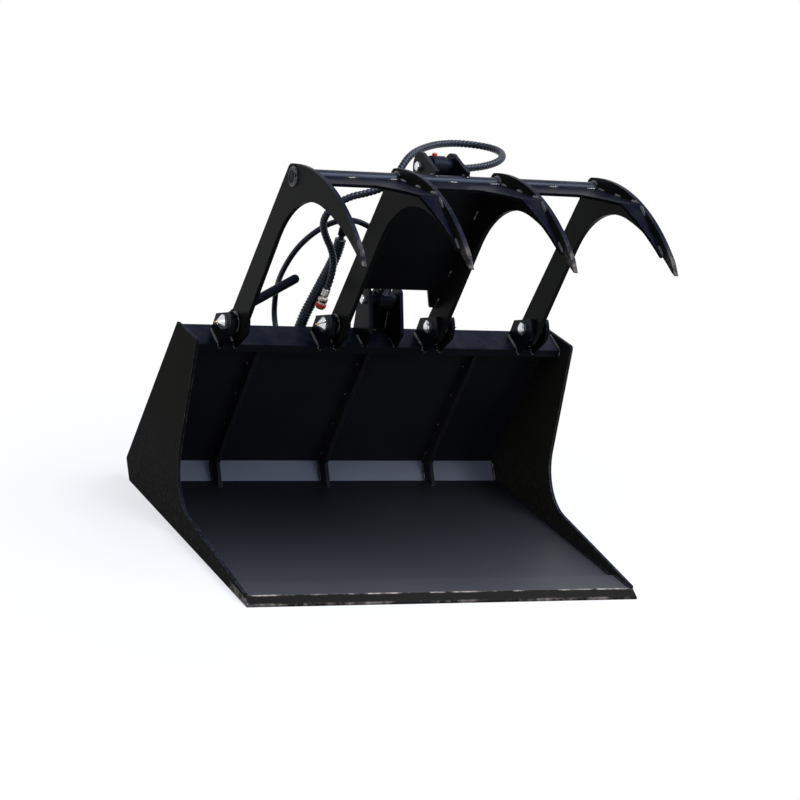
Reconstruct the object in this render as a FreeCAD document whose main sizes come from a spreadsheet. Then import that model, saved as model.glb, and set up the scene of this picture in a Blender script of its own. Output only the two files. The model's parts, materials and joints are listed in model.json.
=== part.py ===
import FreeCAD, Part
import math
import os

import Sketcher

Vector = FreeCAD.Vector

# Log grapple: a bucket-shaped lower jaw with four hooked tines above it that close as one clamp,
# driven by a hydraulic cylinder between the two middle arms.
# X runs to the right across the jaw, Y runs from the cutting edge to the back, Z is up.
# Outlines are drawn from the cutting edge; every piece is then set back so that the origin lies
# on the underside of the floor, behind the edge.

# Driving dimensions, millimetres and degrees
SIZES = {
    # Lower jaw
    "jaw_width": 1120,
    "origin_setback": 450,
    "side_wall": 8,
    "floor_wall": 10,
    "back_wall": 8,
    "floor_length": 852,
    "heel_run": 38,
    "heel_rise": 46,
    "back_lean": 23.9,
    "edge_width": 120,
    "edge_thick": 19,
    "edge_bevel_run": 30,
    "edge_nose": 5,
    # Side plates
    "side_height": 517,
    "side_front_top": 560,
    "side_front_low": 573,
    "side_strip_start": 28,
    "side_strip_front": 26,
    "side_strip_back": 74,
    "side_throat_round": 140,
    "side_corner_round": 10,
    "side_heel_run": 32,
    "side_heel_height": 50,
    "side_overhang_top": 9.5,
    "side_overhang_heel": 24,
    # Top rail
    "rail_height": 514,
    "rail_width": 84.5,
    "rail_fall": 19.4,
    "rail_wall": 8,
    "rail_lip": 20,
    # Ribs on the back plate
    "rib_wall": 10,
    "rib_spacing": 327,
    "rib_depth": 30,
    "rib_heel_depth": 46,
    "rib_heel_height": 65,
    "rib_foot_run": 40,
    # Tine pivots
    "pivot_forward": 16,
    "pivot_height": 66,
    "pivot_pin_radius": 12.5,
    "pivot_play": 0.08,
    "ear_wall": 10,
    "ear_wide_gap": 22,
    "ear_near_gap": 1,
    "ear_foot": 66,
    "ear_back": 61,
    "ear_back_rise": 5,
    "ear_back_turn": 128,
    "ear_crown_turn": 165,
    "ear_front_turn": 205,
    "ear_round": 48,
    "ear_lap": 12,
    "bush_radius": 24,
    "washer_wall": 3,
    "washer_radius": 21,
    "washer_play": 0.3,
    "pin_head_radius": 20,
    "pin_head_depth": 6,
    "pin_cone_depth": 13,
    "pin_cone_tip": 6,
    "pin_nut_radius": 18,
    "pin_nut_depth": 8,
    "pin_end": 3,
    "nipple_radius": 3,
    "nipple_length": 8,
    # Tines
    "tine_spacing": 289.3,
    "tine_wall": 12,
    "arm_back": 38.9,
    "arm_back_lean": 25.76,
    "arm_front": 49,
    "arm_front_lean": 23.75,
    "arm_foot": 44,
    "crest_radius": 560,
    "crest_centre_forward": 345,
    "crest_rise": 509,
    "crest_round": 28,
    "tip_forward": 700,
    "tip_rise": 373,
    "tip_nose_forward": 675,
    "tip_face": 18,
    "throat_arm_rise": 286,
    "throat_forward": 436,
    "throat_rise": 439,
    "throat_mid_forward": 270,
    "throat_mid_rise": 395,
    "hook_mid_forward": 550,
    "hook_mid_rise": 423,
    # Cross tube and webs
    "tube_radius": 21,
    "tube_wall": 5,
    "tube_forward": 229,
    "tube_rise": 463,
    "tube_stub": 6,
    "web_wall": 8,
    "web_bend_forward": 470,
    "web_bend_rise": 491,
    "web_tip_forward": 628,
    "web_tip_rise": 401,
    "web_back_forward": 245,
    "web_back_rise": 467,
    "web_strip_forward": 350,
    "web_strip_end": 20,
    "web_corner_width": 78,
    "web_corner_forward": 405,
    "web_bend_width": 54,
    "web_lobe_width": 29,
    "web_lobe_forward": 530,
    "web_tip_width": 6,
    # Cylinder guard between the middle arms
    "guard_wall": 6,
    "guard_inset": 8,
    "guard_bend_rise": 432,
    "guard_low_rise": 109,
    "guard_leg_rise": 54,
    "guard_tube_angle": 35,
    "guard_notch": 95,
    "guard_notch_low": 124,
    # Cylinder ears on the cross tube
    "top_ear_offset": 45,
    "top_ear_wall": 10,
    "top_pin_forward": 140,
    "top_pin_rise": 482,
    "top_pin_radius": 12.5,
    "top_ear_round": 38,
    "top_ear_front": 15,
    "top_ear_low": 64,
    "cylinder_pin_stub": 9,
    "cylinder_pin_edge": 2,
    # Cylinder bracket on the rail
    "base_pin_back": 55,
    "base_pin_rise": 56,
    "base_pin_radius": 12.5,
    "base_ear_offset": 46,
    "base_ear_wall": 10,
    "base_ear_front": 28,
    "base_ear_nose": 26,
    "base_ear_nose_rise": 46,
    "base_ear_round": 34,
    "bracket_plate_wall": 6,
    "bracket_plate_drop": 10,
    "base_spacer_radius": 18,
    # Cylinder
    "eye_play": 1,
    "barrel_eye_radius": 30,
    "eye_width": 38,
    "spacer_radius": 24,
    "neck_gap": 2,
    "barrel_radius": 31.75,
    "barrel_wall": 6.75,
    "barrel_start": 37,
    "barrel_end": 346,
    "plug_length": 24,
    "gland_length": 36,
    "gland_collar": 9,
    "rod_radius": 15,
    "slide_play": 0.08,
    "piston_start": 78,
    "piston_length": 34,
    "rod_eye_radius": 31,
    "rod_eye_bore": 22.6,
    "port_radius": 11,
    "port_height": 16,
    "port_high": 64,
    "port_low": 318,
    "cap_stem_radius": 3,
    "cap_stem_length": 1,
    "grease_cap_radius": 7,
    "grease_cap_length": 7,
    "grease_cap_left": 11,
    # Tool carrier coupling on the back
    "coupler_width": 920,
    "coupler_wall": 10,
    "coupler_low": 92,
    "coupler_high": 400,
    "hook_depth": 42,
    "hook_drop": 30,
    "hook_wall": 12,
    "shelf_depth": 74,
    "shelf_wall": 16,
    "lock_hole_radius": 13.5,
    "lock_hole_spacing": 560,
    "lock_hole_back": 40,
    "gusset_wall": 12,
    "gusset_height": 70,
    "gusset_inset": 10,
    "hook_splay": 20,
    # Hose hanger
    "hanger_radius": 12.5,
    "hanger_foot_inset": 120,
    "hanger_foot_height": 452,
    "hanger_bend_inset": 160,
    "hanger_bend_height": 528,
    "hanger_end_left": 226,
    "hanger_end_height": 634,
    # Hoses
    "hose_radius": 8,
    "guarded_radius": 10,
    "banjo_radius": 13,
    "banjo_depth": 16,
    "banjo_reach": 40,
    "banjo_tilt_high": 10,
    "banjo_tilt_low": 35,
    "banjo_stem_radius": 6.5,
    "banjo_bolt_radius": 9,
    "banjo_bolt_depth": 7,
    "ferrule_length": 20,
    "fitting_radius": 11,
    "hose_lead": 55,
    "coupling_radius": 14,
    "coupling_length": 52,
    "cap_radius": 16.5,
    "cap_length": 26,
}

SHEET = "Sheet"
doc = FreeCAD.newDocument("log_grapple")
sheet = doc.addObject("Spreadsheet::Sheet", SHEET)
for row, (alias, value) in enumerate(SIZES.items(), start=1):
    sheet.set("A%d" % row, alias)
    sheet.set("B%d" % row, str(value))
    sheet.setAlias("B%d" % row, alias)
doc.recompute()

parts = []


def factors(token):
    return token.split("*")


def is_word(factor):
    return factor[0].isalpha()


def size(text):
    """The value of a sum of products of sheet names and numbers, such as '0.5*jaw_width - side_wall'."""
    total = 0.0
    sign = 1.0
    for token in text.split():
        if token in "+-":
            sign = -1.0 if token == "-" else 1.0
            continue
        product = sign
        for factor in factors(token):
            product *= float(sheet.get(factor)) if is_word(factor) else float(factor)
        total += product
        sign = 1.0
    return total


def link(text):
    """The same sum written as an expression on the sheet."""
    words = []
    for token in text.split():
        if token in "+-":
            words.append(token)
            continue
        words.append("*".join(SHEET + "." + f if is_word(f) else f for f in factors(token)))
    return " ".join(words)


def bind(thing, prop, text):
    thing.setExpression(prop, link(text))


def place(part, label, left="0", back="0", up="0", rotation=None):
    """Puts a finished sub-part in the object's frame and gives it its name."""
    if rotation is not None:
        part.Placement = FreeCAD.Placement(Vector(), rotation)
    bind(part, "Placement.Base.x", left)
    bind(part, "Placement.Base.y", back + " - origin_setback")
    bind(part, "Placement.Base.z", up)
    part.Label = label
    parts.append(part)
    return part


# Plane geometry in (y, z): a point is a pair, an angle is in degrees from +Y towards +Z

def shift(point, length, angle):
    turn = math.radians(angle)
    return (point[0] + length * math.cos(turn), point[1] + length * math.sin(turn))


def heading(start, end):
    return math.degrees(math.atan2(end[1] - start[1], end[0] - start[0]))


def gap(start, end):
    return math.hypot(end[0] - start[0], end[1] - start[1])


def meet(first, first_angle, second, second_angle):
    """Where the line through first at first_angle crosses the line through second at second_angle."""
    a = math.radians(first_angle)
    b = math.radians(second_angle)
    dy = second[0] - first[0]
    dz = second[1] - first[1]
    length = (dy * math.sin(b) - dz * math.cos(b)) / math.sin(b - a)
    return shift(first, length, first_angle)


def along(start, end, share):
    return (start[0] + share * (end[0] - start[0]), start[1] + share * (end[1] - start[1]))


# Sketches and bodies

def plane_of(body, role):
    for feature in body.Origin.OriginFeatures:
        if feature.Role == role:
            return feature
    raise ValueError("no origin plane " + role)


def new_sketch(body, name, role):
    sketch = body.newObject("Sketcher::SketchObject", name)
    sketch.AttachmentSupport = [(plane_of(body, role), "")]
    sketch.MapMode = "FlatFace"
    return sketch


def draw_loop(sketch, corners, vias=None):
    """A closed outline through the corners; vias names the point that an arc to the next corner passes."""
    vias = vias or {}
    ends = []
    for index, start in enumerate(corners):
        end = corners[(index + 1) % len(corners)]
        first = Vector(start[0], start[1], 0)
        last = Vector(end[0], end[1], 0)
        if index in vias:
            middle = Vector(vias[index][0], vias[index][1], 0)
            forwards = (middle - first).cross(last - middle).z > 0
            curve = Part.Arc(first, middle, last) if forwards else Part.Arc(last, middle, first)
            number = sketch.addGeometry(curve, False)
            sketch.addConstraint(Sketcher.Constraint("Radius", number, sketch.Geometry[number].Radius))
        else:
            number = sketch.addGeometry(Part.LineSegment(first, last), False)
            forwards = True
        ends.append((number, 1 if forwards else 2, 2 if forwards else 1))
    for index, (number, start_end, _) in enumerate(ends):
        before, _, before_end = ends[index - 1]
        sketch.addConstraint(Sketcher.Constraint("Coincident", before, before_end, number, start_end))
        sketch.addConstraint(Sketcher.Constraint("DistanceX", number, start_end, corners[index][0]))
        sketch.addConstraint(Sketcher.Constraint("DistanceY", number, start_end, corners[index][1]))


def draw_hole(sketch, centre, radius):
    """A round hole; radius is a sum of sheet names."""
    circle = Part.Circle(Vector(centre[0], centre[1], 0), Vector(0, 0, 1), size(radius))
    number = sketch.addGeometry(circle, False)
    sketch.addConstraint(Sketcher.Constraint("DistanceX", number, 3, centre[0]))
    sketch.addConstraint(Sketcher.Constraint("DistanceY", number, 3, centre[1]))
    bound = sketch.addConstraint(Sketcher.Constraint("Radius", number, size(radius)))
    bind(sketch, "Constraints[%d]" % bound, radius)


def edges_at(feature, corners):
    """Names of the edges across X that stand on these outline corners."""
    names = []
    for index, edge in enumerate(feature.Shape.Edges, start=1):
        for corner in corners:
            near = [abs(v.Y - corner[0]) + abs(v.Z - corner[1]) < 0.01 for v in edge.Vertexes]
            if len(near) == 2 and all(near):
                names.append("Edge%d" % index)
    return names


def plate_body(label, corners, thick, vias=None, holes=(), rounds=()):
    """A flat plate across X: an outline in (y, z) padded by its thickness, with rounded corners."""
    body = doc.addObject("PartDesign::Body", label + "_body")
    sketch = new_sketch(body, label + "_outline", "YZ_Plane")
    draw_loop(sketch, corners, vias)
    for centre, radius in holes:
        draw_hole(sketch, centre, radius)
    pad = body.newObject("PartDesign::Pad", label + "_pad")
    pad.Profile = sketch
    bind(pad, "Length", thick)
    feature = pad
    for radius, picked in rounds:
        doc.recompute()
        fillet = body.newObject("PartDesign::Fillet", label + "_round")
        fillet.Base = (feature, edges_at(feature, picked))
        bind(fillet, "Radius", radius)
        feature = fillet
    body.Tip = feature
    return body


def plate(label, corners, left, thick, vias=None, holes=(), rounds=()):
    return place(plate_body(label, corners, thick, vias, holes, rounds), label, left=left)


def turned_body(label, profile, vias=None):
    """A turned piece: a half section of (along, out) points revolved about its own X axis."""
    body = doc.addObject("PartDesign::Body", label + "_body")
    sketch = new_sketch(body, label + "_section", "XY_Plane")
    draw_loop(sketch, profile, vias)
    turn = body.newObject("PartDesign::Revolution", label + "_turn")
    turn.Profile = sketch
    turn.ReferenceAxis = (sketch, ["H_Axis"])
    turn.Angle = 360
    body.Tip = turn
    return body


def turned(label, profile, left="0", centre=(0, 0), rotation=None, vias=None):
    body = turned_body(label, profile, vias)
    return place(body, label, left, repr(centre[0]), repr(centre[1]), rotation)


def group(label, bodies):
    """Separate solids that share one node."""
    joined = doc.addObject("Part::Compound", label + "_group")
    joined.Links = bodies
    return place(joined, label)


def round_bar(label, radius, length, left, centre):
    """A plain cylinder along X."""
    bar = doc.addObject("Part::Cylinder", label)
    bind(bar, "Radius", radius)
    bind(bar, "Height", length)
    bar.Placement = FreeCAD.Placement(Vector(0, centre[0], centre[1]), ACROSS)
    bind(bar, "Placement.Base.x", left)
    return bar


def inclined_bar(label, radius, length, start, angle):
    """A plain cylinder in the middle plane, from start at an angle in (y, z)."""
    bar = doc.addObject("Part::Cylinder", label)
    bind(bar, "Radius", radius)
    bind(bar, "Height", length)
    bar.Placement = FreeCAD.Placement(Vector(0, start[0], start[1]), z_to(angle))
    return bar


def z_to(angle):
    turn = math.radians(angle)
    return FreeCAD.Rotation(Vector(0, 0, 1), Vector(0, math.cos(turn), math.sin(turn)))


def x_to(angle):
    turn = math.radians(angle)
    return FreeCAD.Rotation(Vector(1, 0, 0), Vector(0, math.cos(turn), math.sin(turn)))


ACROSS = FreeCAD.Rotation(Vector(0, 0, 1), Vector(1, 0, 0))


def fused(label, pieces):
    joined = doc.addObject("Part::MultiFuse", label)
    joined.Shapes = pieces
    return joined


def cut(label, base, tool):
    result = doc.addObject("Part::Cut", label)
    result.Base = base
    result.Tool = tool
    return result


# Main lines of the lower jaw

BACK_ANGLE = 90 + size("back_lean")
floor_end = (size("floor_length"), size("floor_wall"))
heel_top = (floor_end[0] + size("heel_run"), floor_end[1] + size("heel_rise"))
HEEL_ANGLE = heading(floor_end, heel_top)
RAIL_ANGLE = size("rail_fall")


def back_face(height, depth=0.0):
    """A point at this height, depth behind the inner face of the back plate."""
    return meet(shift(heel_top, depth, BACK_ANGLE - 90), BACK_ANGLE, (0, height), 0)


rail_back = back_face(size("rail_height"), size("back_wall"))
rail_front = shift(rail_back, - size("rail_width"), RAIL_ANGLE)
pivot = (rail_front[0] - size("pivot_forward"), rail_front[1] + size("pivot_height"))


def on_rail(distance):
    """A point on the rail's top face, behind its front corner."""
    return shift(rail_front, distance, RAIL_ANGLE)


def from_pivot(forward, rise):
    """A point forward of and above the tine pivot."""
    return (pivot[0] - forward, pivot[1] + rise)


def side_plates():
    edge_back = size("edge_width")
    edge_top = size("edge_thick")
    strip = size("side_strip_start")
    throat = (size("side_front_low"), size("side_strip_back"))
    front_top = (size("side_front_top"), size("side_height"))
    back_top = back_face(size("side_height"), size("back_wall + side_overhang_top"))
    heel_back = back_face(size("side_heel_height"), size("back_wall + side_overhang_heel"))
    heel_low = (floor_end[0] + size("side_heel_run"), 0)
    corners = [
        (edge_back, 0),
        (edge_back, edge_top),
        (strip, edge_top),
        (strip, size("side_strip_front")),
        throat,
        front_top,
        back_top,
        heel_back,
        heel_low,
    ]
    rounds = [
        ("side_throat_round", [throat]),
        ("side_corner_round", [front_top, heel_back, heel_low]),
    ]
    plate("left_side_plate", corners, "- 0.5*jaw_width", "side_wall", rounds=rounds)
    plate("right_side_plate", corners, "0.5*jaw_width - side_wall", "side_wall", rounds=rounds)


INNER_LEFT = "- 0.5*jaw_width + side_wall"
INNER_WIDTH = "jaw_width - 2*side_wall"


def shell():
    """Floor, heel and back plates between the side plates, mitred where they meet."""
    under_floor = (floor_end[0], 0)
    wall = size("back_wall")
    heel_outer = shift(floor_end, wall, HEEL_ANGLE - 90)
    back_outer = shift(heel_top, wall, BACK_ANGLE - 90)
    mitre_low = meet(under_floor, 0, heel_outer, HEEL_ANGLE)
    mitre_high = meet(heel_outer, HEEL_ANGLE, back_outer, BACK_ANGLE)
    edge_back = size("edge_width")
    floor = [(edge_back, 0), mitre_low, floor_end, (edge_back, floor_end[1])]
    plate("floor_plate", floor, INNER_LEFT, INNER_WIDTH)
    plate("heel_plate", [floor_end, mitre_low, mitre_high, heel_top], INNER_LEFT, INNER_WIDTH)
    under_rail = shift(rail_back, - size("rail_wall"), RAIL_ANGLE + 90)
    top_outer = meet(back_outer, BACK_ANGLE, under_rail, RAIL_ANGLE)
    top_inner = meet(heel_top, BACK_ANGLE, under_rail, RAIL_ANGLE)
    plate("back_plate", [heel_top, mitre_high, top_outer, top_inner], INNER_LEFT, INNER_WIDTH)


def cutting_edge():
    top = size("edge_thick")
    corners = [
        (0, 0),
        (size("edge_width"), 0),
        (size("edge_width"), top),
        (size("edge_bevel_run"), top),
        (0, size("edge_nose")),
    ]
    plate("cutting_edge", corners, "- 0.5*jaw_width", "jaw_width")


def top_rail():
    """An angle across the jaw: a sloping top flange and a lip turned down at its front."""
    wall = size("rail_wall")
    lip_low = (rail_front[0], rail_front[1] - size("rail_lip"))
    lip_inner = (lip_low[0] + wall, lip_low[1])
    under_back = shift(rail_back, -wall, RAIL_ANGLE + 90)
    inner_corner = meet(lip_inner, 90, under_back, RAIL_ANGLE)
    corners = [rail_front, lip_low, lip_inner, inner_corner, under_back, rail_back]
    plate("top_rail", corners, INNER_LEFT, INNER_WIDTH)


def ribs():
    depth = size("rib_depth")
    inner = shift(heel_top, -depth, BACK_ANGLE - 90)
    under = shift(rail_back, - size("rail_wall"), RAIL_ANGLE + 90)
    top_back = meet(heel_top, BACK_ANGLE, under, RAIL_ANGLE)
    top_front = meet(inner, BACK_ANGLE, under, RAIL_ANGLE)
    knee_high = meet(inner, BACK_ANGLE, (0, 2 * size("rib_heel_height")), 0)
    knee = (heel_top[0] - size("rib_heel_depth"), size("rib_heel_height"))
    foot = (knee[0] - size("rib_foot_run"), floor_end[1])
    corners = [foot, floor_end, heel_top, top_back, top_front, knee_high, knee]
    names = ["rib_left", "rib_middle", "rib_right"]
    for name, step in zip(names, (-1, 0, 1)):
        plate(name, corners, "%d*rib_spacing" % step, "rib_wall")


TINES = (("-1.5", False), ("-0.5", False), ("0.5", True), ("1.5", True))


def tine_left(step):
    return "%s*tine_spacing - 0.5*tine_wall" % step


def group_at(label, bodies_and_lefts):
    """Separate solids of one node, each moved along X to its own place."""
    bodies = []
    for body, left in bodies_and_lefts:
        bind(body, "Placement.Base.x", left)
        bodies.append(body)
    group(label, bodies)


def ring_body(label, outer, inner, thick, centre):
    """A plain ring or tube along X; outer, inner and thick are sums of sheet names."""
    body = doc.addObject("PartDesign::Body", label + "_body")
    sketch = new_sketch(body, label + "_rings", "YZ_Plane")
    draw_hole(sketch, centre, outer)
    draw_hole(sketch, centre, inner)
    pad = body.newObject("PartDesign::Pad", label + "_pad")
    pad.Profile = sketch
    bind(pad, "Length", thick)
    body.Tip = pad
    return body


def ring(label, outer, inner, thick, centre, left):
    return place(ring_body(label, outer, inner, thick, centre), label, left=left)


PIN_BORE = "pivot_pin_radius + pivot_play"
CLEVIS_SPAN = "ear_wide_gap + ear_near_gap + 2*ear_wall + tine_wall"


def ear_left(step, flipped, side):
    """Left face of one ear of a clevis; the flipped ones are the mirror image of the others."""
    tine = tine_left(step)
    places = {
        ("wide", False): tine + " - ear_wide_gap - ear_wall",
        ("near", False): tine + " + tine_wall + ear_near_gap",
        ("wide", True): tine + " + tine_wall + ear_wide_gap",
        ("near", True): tine + " - ear_near_gap - ear_wall",
    }
    return places[(side, flipped)]


def clevis_ears():
    """Two ears welded on the rail for each tine; the tine runs close to the one nearer the middle."""
    foot_back = on_rail(size("ear_foot"))
    back = (pivot[0] + size("ear_back"), pivot[1] + size("ear_back_rise"))
    round_radius = size("ear_round")
    top_back = shift(pivot, round_radius, size("ear_back_turn"))
    crown = shift(pivot, round_radius, size("ear_crown_turn"))
    front = shift(pivot, round_radius, size("ear_front_turn"))
    lap = (rail_front[0], rail_front[1] - size("ear_lap"))
    corners = [foot_back, back, top_back, front, lap, rail_front]
    for number, (step, flipped) in enumerate(TINES, start=1):
        ears = []
        for side in ("wide", "near"):
            label = "clevis_ear_%d_%s" % (number, side)
            body = plate_body(label, corners, "ear_wall", {2: crown}, [(pivot, PIN_BORE)])
            ears.append((body, ear_left(step, flipped, side)))
        group_at("clevis_ears_%d" % number, ears)


def pin_frame(step, flipped):
    """Left position and turn of a pivot pin, measured inwards from the outer ear's outer face."""
    if flipped:
        return tine_left(step) + " + tine_wall + ear_wide_gap + ear_wall", FreeCAD.Rotation(Vector(0, 0, 1), 180)
    return tine_left(step) + " - ear_wide_gap - ear_wall", None


def pivot_pins():
    """Headed pins: a cone head with a grease nipple outside, a washer nut on the inner side."""
    shaft = size("pivot_pin_radius")
    head = size("pin_head_radius")
    head_depth = size("pin_head_depth")
    cone = head_depth + size("pin_cone_depth")
    span = size(CLEVIS_SPAN)
    end = span + size("pin_nut_depth + pin_end")
    profile = [
        (-cone, 0),
        (-cone, size("pin_cone_tip")),
        (-head_depth, head),
        (0, head),
        (0, shaft),
        (end, shaft),
        (end, 0),
    ]
    nipples = []
    nuts = []
    for number, (step, flipped) in enumerate(TINES, start=1):
        left, rotation = pin_frame(step, flipped)
        turned("pivot_pin_%d" % number, profile, left, pivot, rotation)
        nipple = turned_body("grease_nipple_%d" % number, nipple_profile(-cone))
        nut = hex_nut("pivot_nut_%d" % number, "pin_nut_radius", "pin_nut_depth", "pivot_pin_radius")
        if rotation is not None:
            nipple.Placement = FreeCAD.Placement(Vector(), rotation)
        bind(nipple, "Placement.Base.x", left)
        bind(nipple, "Placement.Base.y", repr(pivot[0]))
        bind(nipple, "Placement.Base.z", repr(pivot[1]))
        nipples.append(nipple)
        far = tine_left(step) + (" - ear_near_gap - ear_wall - pin_nut_depth" if flipped
                                 else " + tine_wall + ear_near_gap + ear_wall")
        nuts.append((nut, far))
    group("grease_nipples", nipples)
    group_at("pivot_nuts", nuts)


def nipple_profile(start):
    """Half section of a grease nipple that stands on the plane at start and points to -X."""
    radius = size("nipple_radius")
    length = size("nipple_length")
    return [
        (start, 0),
        (start, radius),
        (start - 0.4 * length, radius),
        (start - 0.6 * length, 0.55 * radius),
        (start - 0.8 * length, 0.8 * radius),
        (start - length, 0.5 * radius),
        (start - length, 0),
    ]


def hex_nut(label, radius, depth, bore):
    across = size(radius)
    corners = [shift(pivot, across, 60 * k) for k in range(6)]
    return plate_body(label, corners, depth, holes=[(pivot, bore)])


def thrust_washers():
    """Two rings beside each tine's boss, on the wide side of its clevis."""
    rings = []
    for number, (step, flipped) in enumerate(TINES, start=1):
        for turn in range(2):
            label = "thrust_washer_%d_%d" % (number, turn + 1)
            body = ring_body(label, "washer_radius", "pivot_pin_radius", "washer_wall", pivot)
            rest = "%s*washer_wall" % (turn + 1)
            if flipped:
                left = tine_left(step) + " + tine_wall + ear_wide_gap - " + rest
            else:
                left = tine_left(step) + " - ear_wide_gap + %s*washer_wall" % turn
            rings.append((body, left))
    group_at("thrust_washers", rings)


# Clamp: four hooked tines joined by a cross tube

REAR_LINE = 90 + size("arm_back_lean")
FRONT_LINE = 90 + size("arm_front_lean")
rear_foot = shift(pivot, size("arm_back"), REAR_LINE - 90)
front_foot = shift(pivot, size("arm_front"), FRONT_LINE + 90)
CREST_RADIUS = size("crest_radius")
crest_centre = from_pivot(size("crest_centre_forward"), size("crest_rise") - CREST_RADIUS)
tube_centre = from_pivot(size("tube_forward"), size("tube_rise"))
top_pin = from_pivot(size("top_pin_forward"), size("top_pin_rise"))


def on_crest(forward):
    """The point of the crest arc this far forward of the pivot."""
    run = pivot[0] - forward - crest_centre[0]
    return (pivot[0] - forward, crest_centre[1] + math.sqrt(CREST_RADIUS ** 2 - run ** 2))


def line_to_crest(start, angle):
    """Where a line from start, at an angle, leaves the crest circle."""
    turn = math.radians(angle)
    dy = start[0] - crest_centre[0]
    dz = start[1] - crest_centre[1]
    half = dy * math.cos(turn) + dz * math.sin(turn)
    reach = -half + math.sqrt(half ** 2 - dy ** 2 - dz ** 2 + CREST_RADIUS ** 2)
    return shift(start, reach, angle)


def tines():
    crest_back = line_to_crest(rear_foot, REAR_LINE)
    nose = on_crest(size("tip_nose_forward"))
    tip = from_pivot(size("tip_forward"), size("tip_rise"))
    tip_low = from_pivot(size("tip_forward - tip_face"), size("tip_rise + 0.28*tip_face"))
    throat_front = from_pivot(size("throat_forward"), size("throat_rise"))
    throat_mid = from_pivot(size("throat_mid_forward"), size("throat_mid_rise"))
    throat_back = meet(front_foot, FRONT_LINE, (0, pivot[1] + size("throat_arm_rise")), 0)
    hook_mid = from_pivot(size("hook_mid_forward"), size("hook_mid_rise"))
    root_low = shift(pivot, size("arm_foot"), 0.5 * (REAR_LINE + FRONT_LINE) + 180)
    corners = [rear_foot, crest_back, nose, tip, tip_low, throat_front, throat_back, front_foot]
    vias = {
        1: on_crest(size("crest_centre_forward")),
        4: hook_mid,
        5: throat_mid,
        7: root_low,
    }
    holes = [(pivot, "bush_radius"), (tube_centre, "tube_radius")]
    rounds = [("crest_round", [crest_back])]
    for number, (step, flipped) in enumerate(TINES, start=1):
        plate("tine_%d" % number, corners, tine_left(step), "tine_wall", vias, holes, rounds)
        span = "tine_wall + ear_wide_gap - 2*washer_wall - washer_play"
        if flipped:
            left = tine_left(step)
        else:
            left = tine_left(step) + " - ear_wide_gap + 2*washer_wall + washer_play"
        ring("pivot_bush_%d" % number, "bush_radius", PIN_BORE, span, pivot, left)


def cross_tube():
    length = "3*tine_spacing + tine_wall + 2*tube_stub"
    left = "- 1.5*tine_spacing - 0.5*tine_wall - tube_stub"
    ring("cross_tube", "tube_radius", "tube_radius - tube_wall", length, tube_centre, left)


def on_tube(angle):
    return shift(tube_centre, size("tube_radius"), angle)


def tube_at(height, front=True):
    """The point of the tube's surface at this height, on its front or back side."""
    rise = height - tube_centre[1]
    run = math.sqrt(size("tube_radius") ** 2 - rise ** 2)
    return (tube_centre[0] - run if front else tube_centre[0] + run, height)


def webs():
    """A bent plate in each bay: a strip along the tube and a lobe along the next tine, down to its tip."""
    wall = size("web_wall")
    bend = from_pivot(size("web_bend_forward"), size("web_bend_rise"))
    back = from_pivot(size("web_back_forward"), size("web_back_rise"))
    tip = from_pivot(size("web_tip_forward"), size("web_tip_rise"))
    first = heading(back, bend)
    second = heading(bend, tip)
    upper = [shift(back, wall / 2, first - 90), shift(tip, wall / 2, second - 90)]
    lower = [shift(back, wall / 2, first + 90), shift(tip, wall / 2, second + 90)]
    bend_upper = meet(upper[0], first, upper[1], second)
    bend_lower = meet(lower[0], first, lower[1], second)
    corners = [tube_at(upper[0][1]), bend_upper, upper[1], lower[1], bend_lower, tube_at(lower[0][1])]
    inner = size("tine_spacing - tine_wall")
    y_strip = pivot[0] - size("web_strip_forward")
    y_tip = tip[0] - wall
    corner = (inner - size("web_corner_width"), pivot[0] - size("web_corner_forward"))
    lobe = (inner - size("web_lobe_width"), pivot[0] - size("web_lobe_forward"))
    outline = [
        (-wall, y_strip),
        (0.5 * inner + size("web_strip_end"), y_strip),
        (inner - size("web_bend_width"), bend[0]),
        (inner - size("web_tip_width"), y_tip),
        (-wall, y_tip),
    ]
    names = ["web_left", "web_middle", "web_right"]
    for name, bay in zip(names, (-1, 0, 1)):
        body = plate_body(name, corners, "tine_spacing - tine_wall", {5: tube_at(back[1])})
        sketch = new_sketch(body, name + "_front", "XY_Plane")
        draw_loop(sketch, outline, {1: corner, 2: lobe})
        pocket = body.newObject("PartDesign::Pocket", name + "_pocket")
        pocket.Profile = sketch
        pocket.Type = "ThroughAll"
        pocket.Midplane = True
        body.Tip = pocket
        place(body, name, left="%s*tine_spacing - 0.5*tine_spacing + 0.5*tine_wall" % bay)


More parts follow.
